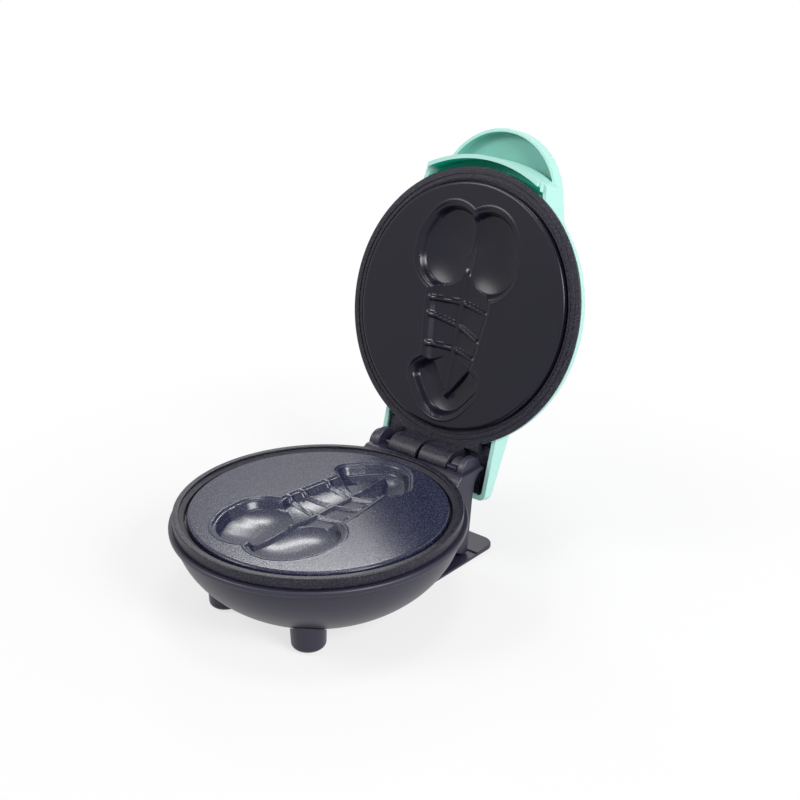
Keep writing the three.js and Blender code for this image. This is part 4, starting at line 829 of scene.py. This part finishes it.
CHIN, CHIN_HALF, CHIN_ROOT, CHIN_MEETS = 67.4, 32.7, 34.1, 61.5
CHIN_WALL, CHIN_REAR = 1.8, -30.0
VISOR_LOW = -1.1
VISOR_STEPS = ((30.0, 0.3), (31.3, 2.4))   # past each half width, the height where its ends begin
GAP_TOP = 8.5                              # roof of the gap behind the visor
GAP_SPAN = (59.5, 65.9)                    # radii that take in the dome's side and the visor's inner one, for the painted shade
TAB = [(0, -48.2, 32.8), (32.5, -43.0, 3.0), (-32.5, -43.0, 3.0)]
TAB_LOW, TAB_TOP, TAB_ROOF, TAB_WALL = 12.8, 19.6, 1.8, 1.6
RECESS_TOP = TAB_TOP - TAB_ROOF
TAIL_HALF, TAIL_START, TAIL_END, TAIL_HIGH, TAIL_FAR = 32.0, 40.0, 82.5, 17.6, 10.4
LENS_Y = -17
PLAIN, VISOR_PAINTED_SHADE, RECESS_PAINTED_SHADE = 0, 1, 2   # the shell's material slots: plain, and two of painted shade


def dome(grow, low):
    """The dome as one solid, that much bigger, with its foot at a height."""
    side = arc(RIM + grow, DOME_HEIGHT + grow, DOME_RIM, DOME_RIM, DOME_RIM + DOME_HEIGHT + grow, 28)
    side[-1] = (0, DOME_RIM + DOME_HEIGHT + grow)
    foot_ring = [(0, low), (RIM + grow, low)]
    return turned(foot_ring + (side if low < DOME_RIM else side[1:]), BOWL_FACETS)


def cut_flat(bm, place, outward):
    """Cuts off what lies outside a plane and closes the cut."""
    bmesh.ops.bisect_plane(bm, geom=bm.verts[:] + bm.edges[:] + bm.faces[:], dist=MERGE,
                           plane_co=place, plane_no=outward, clear_outer=True)
    bmesh.ops.holes_fill(bm, edges=[e for e in bm.edges if e.is_boundary])


def chin(inset, low, high):
    """A round-fronted visor whose sides run straight back to the dome."""
    bm = upright(CHIN - inset, (0, 0), low, high, CHIN_FACETS)
    front = Vector((CHIN_HALF - inset, -math.sqrt((CHIN - inset) ** 2 - (CHIN_HALF - inset) ** 2), 0))
    root = Vector((CHIN_ROOT - inset, -math.sqrt(CHIN_MEETS ** 2 - (CHIN_ROOT - inset) ** 2), 0))
    along = root - front
    for _, side in SIDES:
        normal = Vector((side * along.y, -along.x, 0))
        cut_flat(bm, (side * front.x, front.y, 0), normal if normal.x * side > 0 else -normal)
    cut_flat(bm, (0, CHIN_REAR, 0), (0, 1, 0))
    bmesh.ops.recalc_face_normals(bm, faces=bm.faces)
    return bm


def visor():
    """The chin, its upright corners rounded and its ends stepped, cut to sit on the dome."""
    bm = chin(0, VISOR_LOW, TAB_LOW + 0.8)
    soften(bm, 1.0, lambda e: rise(e) > 5 and all(v.co.y < -50 for v in e.verts), angle=20)
    steps = [block(sorted((side * near, side * 44.0)), (-64, CHIN_REAR), (-3, top))
             for _, side in SIDES for near, top in VISOR_STEPS]
    return worked(bm, upright(RIM, (0, 0), -3, DOME_RIM, CHIN_FACETS), dome(-1.0, DOME_RIM - 0.5), *steps)


def handle():
    """The D-shaped tab by which the lid is lifted, before its recess is cut."""
    bm = hull(TAB, TAB_LOW, TAB_TOP)
    soften(bm, 1.5, above(TAB_TOP - NEAR), segments=5, angle=45)
    soften(bm, 0.3, lambda e: all(v.co.z < TAB_LOW + NEAR for v in e.verts), segments=2, angle=45)
    return worked(bm, dome(-1.0, DOME_RIM - 1))


def tail(inset, low):
    """The hinge cover as one solid, that much smaller, with its top and rear edges rounded."""
    half, end = TAIL_HALF - inset, TAIL_END - inset
    start, high, far = TAIL_START - inset, TAIL_HIGH - inset, TAIL_FAR - inset
    bm = side_prism([(start, low), (end, low), (end, far), (start, high)], -half, half)

    def top_or_end(e):
        if all(v.co.z < low + NEAR for v in e.verts) or all(v.co.y < start + NEAR for v in e.verts):
            return False
        return above(low + 0.5)(e) or all(v.co.y > end - NEAR for v in e.verts)

    return soften(bm, 3.0 - inset / 2, top_or_end, segments=6)


def lid_shell():
    whole = joined(dome(0, DOME_RIM), visor(), handle(), tail(0, 3.6))
    recess = worked(hull([(x, y, r - TAB_WALL) for x, y, r in TAB], TAB_LOW - 1.0, RECESS_TOP),
                    chin(0, -2.0, RECESS_TOP), dome(0, DOME_RIM))
    inside_chin = worked(chin(CHIN_WALL, VISOR_LOW - 1, GAP_TOP), dome(0, DOME_RIM - 1.0))
    inside_tail = worked(tail(WALL, 2.6), dome(0, DOME_RIM))
    slot = block((-25.3, 25.3), (31.6, LINER_END), (2.0, 6.9))
    lens_way = upright(3.7, (0, LENS_Y), 3, 30, PAD_FACETS)
    return worked(whole, dome(-WALL, DOME_RIM - 1.0), recess, inside_chin, inside_tail, slot, lens_way)


def slot_of_face(face):
    """Which of the shell's material slots a face has, by where its middle lies: painted shade behind the
    visor and in the handle's recess.
    """
    middle = face.calc_center_median()
    out = math.hypot(middle.x, middle.y)
    if (VISOR_LOW + 0.2 < middle.z < GAP_TOP + 0.4 and middle.y < -50
            and abs(middle.x) < VISOR_STEPS[0][0] - 0.1 and GAP_SPAN[0] < out < GAP_SPAN[1]):
        return VISOR_PAINTED_SHADE
    under_tab = reach(np.array([middle[:2]]), [(x, y, r - TAB_WALL + 0.1) for x, y, r in TAB])[0] < 0
    if under_tab and out > CHIN - 0.1 and TAB_LOW + 0.1 < middle.z < RECESS_TOP + 0.1:
        return RECESS_PAINTED_SHADE
    return PLAIN


shell = lid_shell()
for face in shell.faces:
    face.material_index = slot_of_face(face)
mint_lid = piece("mint_lid", shell, LID, "lid", mint_abs, "mint_shell", "lid_shell")
for other in (visor_painted_shade_mint, recess_painted_shade_mint):
    mint_lid.data.materials.append(other)

lens = turned([(0, 22.8), (4.4, 22.8), (4.4, 23.8), (3.4, 23.8), (3.4, 25.9), (2.6, 26.5), (0, 26.8)],
              PAD_FACETS)
piece("pilot_lens", moved(lens, Matrix.Translation((0, LENS_Y, 0))), LID, "lid", lens_clear, "lens",
      "indicator_lens")

# Parts left as their solids

for material, names in (
        (sheath_steel, ("lower_heater", "upper_heater")),
        (pan_steel, ("lower_heat_pan", "upper_heat_pan")),
        (steatite, ("thermostat", "thermal_fuse", "terminal_block")),
        (sleeve, ("heater_lead_left", "heater_lead_right")),
        (zinc_steel, ("upper_screw_1", "upper_screw_2", "upper_screw_3", "stand_screw_left",
                      "stand_screw_right")),
        (lamp_clear, ("indicator_lamp",))):
    for name in names:
        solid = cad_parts[name]
        solid.data.materials.clear()
        solid.data.materials.append(material)

# Floor, light and camera, in metres

FLOOR = 6
SHADOW_NEAR, SHADOW_FAR = 0.08, 0.26       # the floor fades to white between these distances
SHADOW_GLOW = 0.72                         # share of white that it already has nearer than both
SKY = 0.22
WHITE = (1, 1, 1, 1)


def background_rays(tree):
    """One for the rays that see the white background: the camera's, and those that metal and glass
    send on."""
    path = add(tree, "ShaderNodeLightPath")
    mirrored = add(tree, "ShaderNodeMath", {}, {0: (path, "Is Glossy Ray"), 1: (path, "Is Transmission Ray")},
                   {"operation": "MAXIMUM"})
    return add(tree, "ShaderNodeMath", {}, {0: (path, "Is Camera Ray"), 1: (mirrored, 0)},
               {"operation": "MAXIMUM"})


def white_paper():
    """A pale floor that keeps the object's shadow and fades to white away from it."""
    material, tree, shader, place = blank_finish(
        "white_paper", {"Base Color": colour("#DCDCDE"), "Roughness": 0.9, "Specular IOR Level": 0.0})
    away = add(tree, "ShaderNodeVectorMath", {}, {0: (place, "Object")}, {"operation": "LENGTH"})
    fade = add(tree, "ShaderNodeMapRange", {"From Min": SHADOW_NEAR, "From Max": SHADOW_FAR,
               "To Min": SHADOW_GLOW, "To Max": 1.0}, {"Value": (away, "Value")})
    share = add(tree, "ShaderNodeMath", {}, {0: (background_rays(tree), 0), 1: (fade, "Result")},
                {"operation": "MULTIPLY"})
    glow = add(tree, "ShaderNodeEmission", {"Color": WHITE, "Strength": 1.0})
    both = add(tree, "ShaderNodeMixShader", {}, {0: (share, 0), 1: (shader, "BSDF"), 2: (glow, "Emission")})
    tree.links.new(both.outputs[0], tree.nodes["Material Output"].inputs["Surface"])
    return material


def studio():
    """A dim sky that lights the object, and a white one for the rays that see the background."""
    world = bpy.data.worlds.new("studio")
    world.use_nodes = True
    tree = world.node_tree
    sky = tree.nodes["Background"]
    sky.inputs["Color"].default_value = WHITE
    sky.inputs["Strength"].default_value = SKY
    white = add(tree, "ShaderNodeBackground", {"Color": WHITE, "Strength": 1.0})
    swap = add(tree, "ShaderNodeMixShader", {},
               {0: (background_rays(tree), 0), 1: (sky, "Background"), 2: (white, "Background")})
    tree.links.new(swap.outputs[0], tree.nodes["World Output"].inputs["Surface"])
    return world


def aimed(name, data, place, target):
    """A lamp or camera in its place, turned to its target."""
    thing = bpy.data.objects.new(name, data)
    bpy.context.scene.collection.objects.link(thing)
    thing.location = place
    thing.rotation_euler = (Vector(place) - Vector(target)).to_track_quat("Z", "Y").to_euler()
    return thing


def softbox(name, place, target, size, power):
    light = bpy.data.lights.new(name, "AREA")
    light.shape, light.size, light.size_y = "RECTANGLE", size[0], size[1]
    light.energy = power
    aimed(name, light, place, target)


paper = bmesh.new()
bmesh.ops.create_grid(paper, x_segments=1, y_segments=1, size=FLOOR)
floor = linked("floor", paper)
floor.data.materials.append(white_paper())
bpy.context.scene.world = studio()

softbox("key_right", (1.02, -0.16, 0.70), (0, 0, 0.08), (0.5, 0.5), 14.5)
softbox("fill_left", (-0.60, -0.74, 0.86), (0, 0, 0.10), (0.50, 0.45), 6.5)
softbox("overhead", (0.05, 0.10, 1.15), (0, 0, 0.05), (0.35, 0.35), 3.0)
softbox("back_left", (-0.54, 0.51, 0.62), (0.0, -0.06, 0.04), (0.22, 0.12), 1.4)

view = bpy.data.cameras.new("camera")
view.lens, view.sensor_width = 57.16, 36.0
view.clip_start, view.clip_end = 0.01, 20.0
bpy.context.scene.camera = aimed("camera", view, (0.33270, -0.37040, 0.28750), (0.03384, -0.02137, 0.09529))
bpy.context.scene.view_settings.view_transform = "Standard"
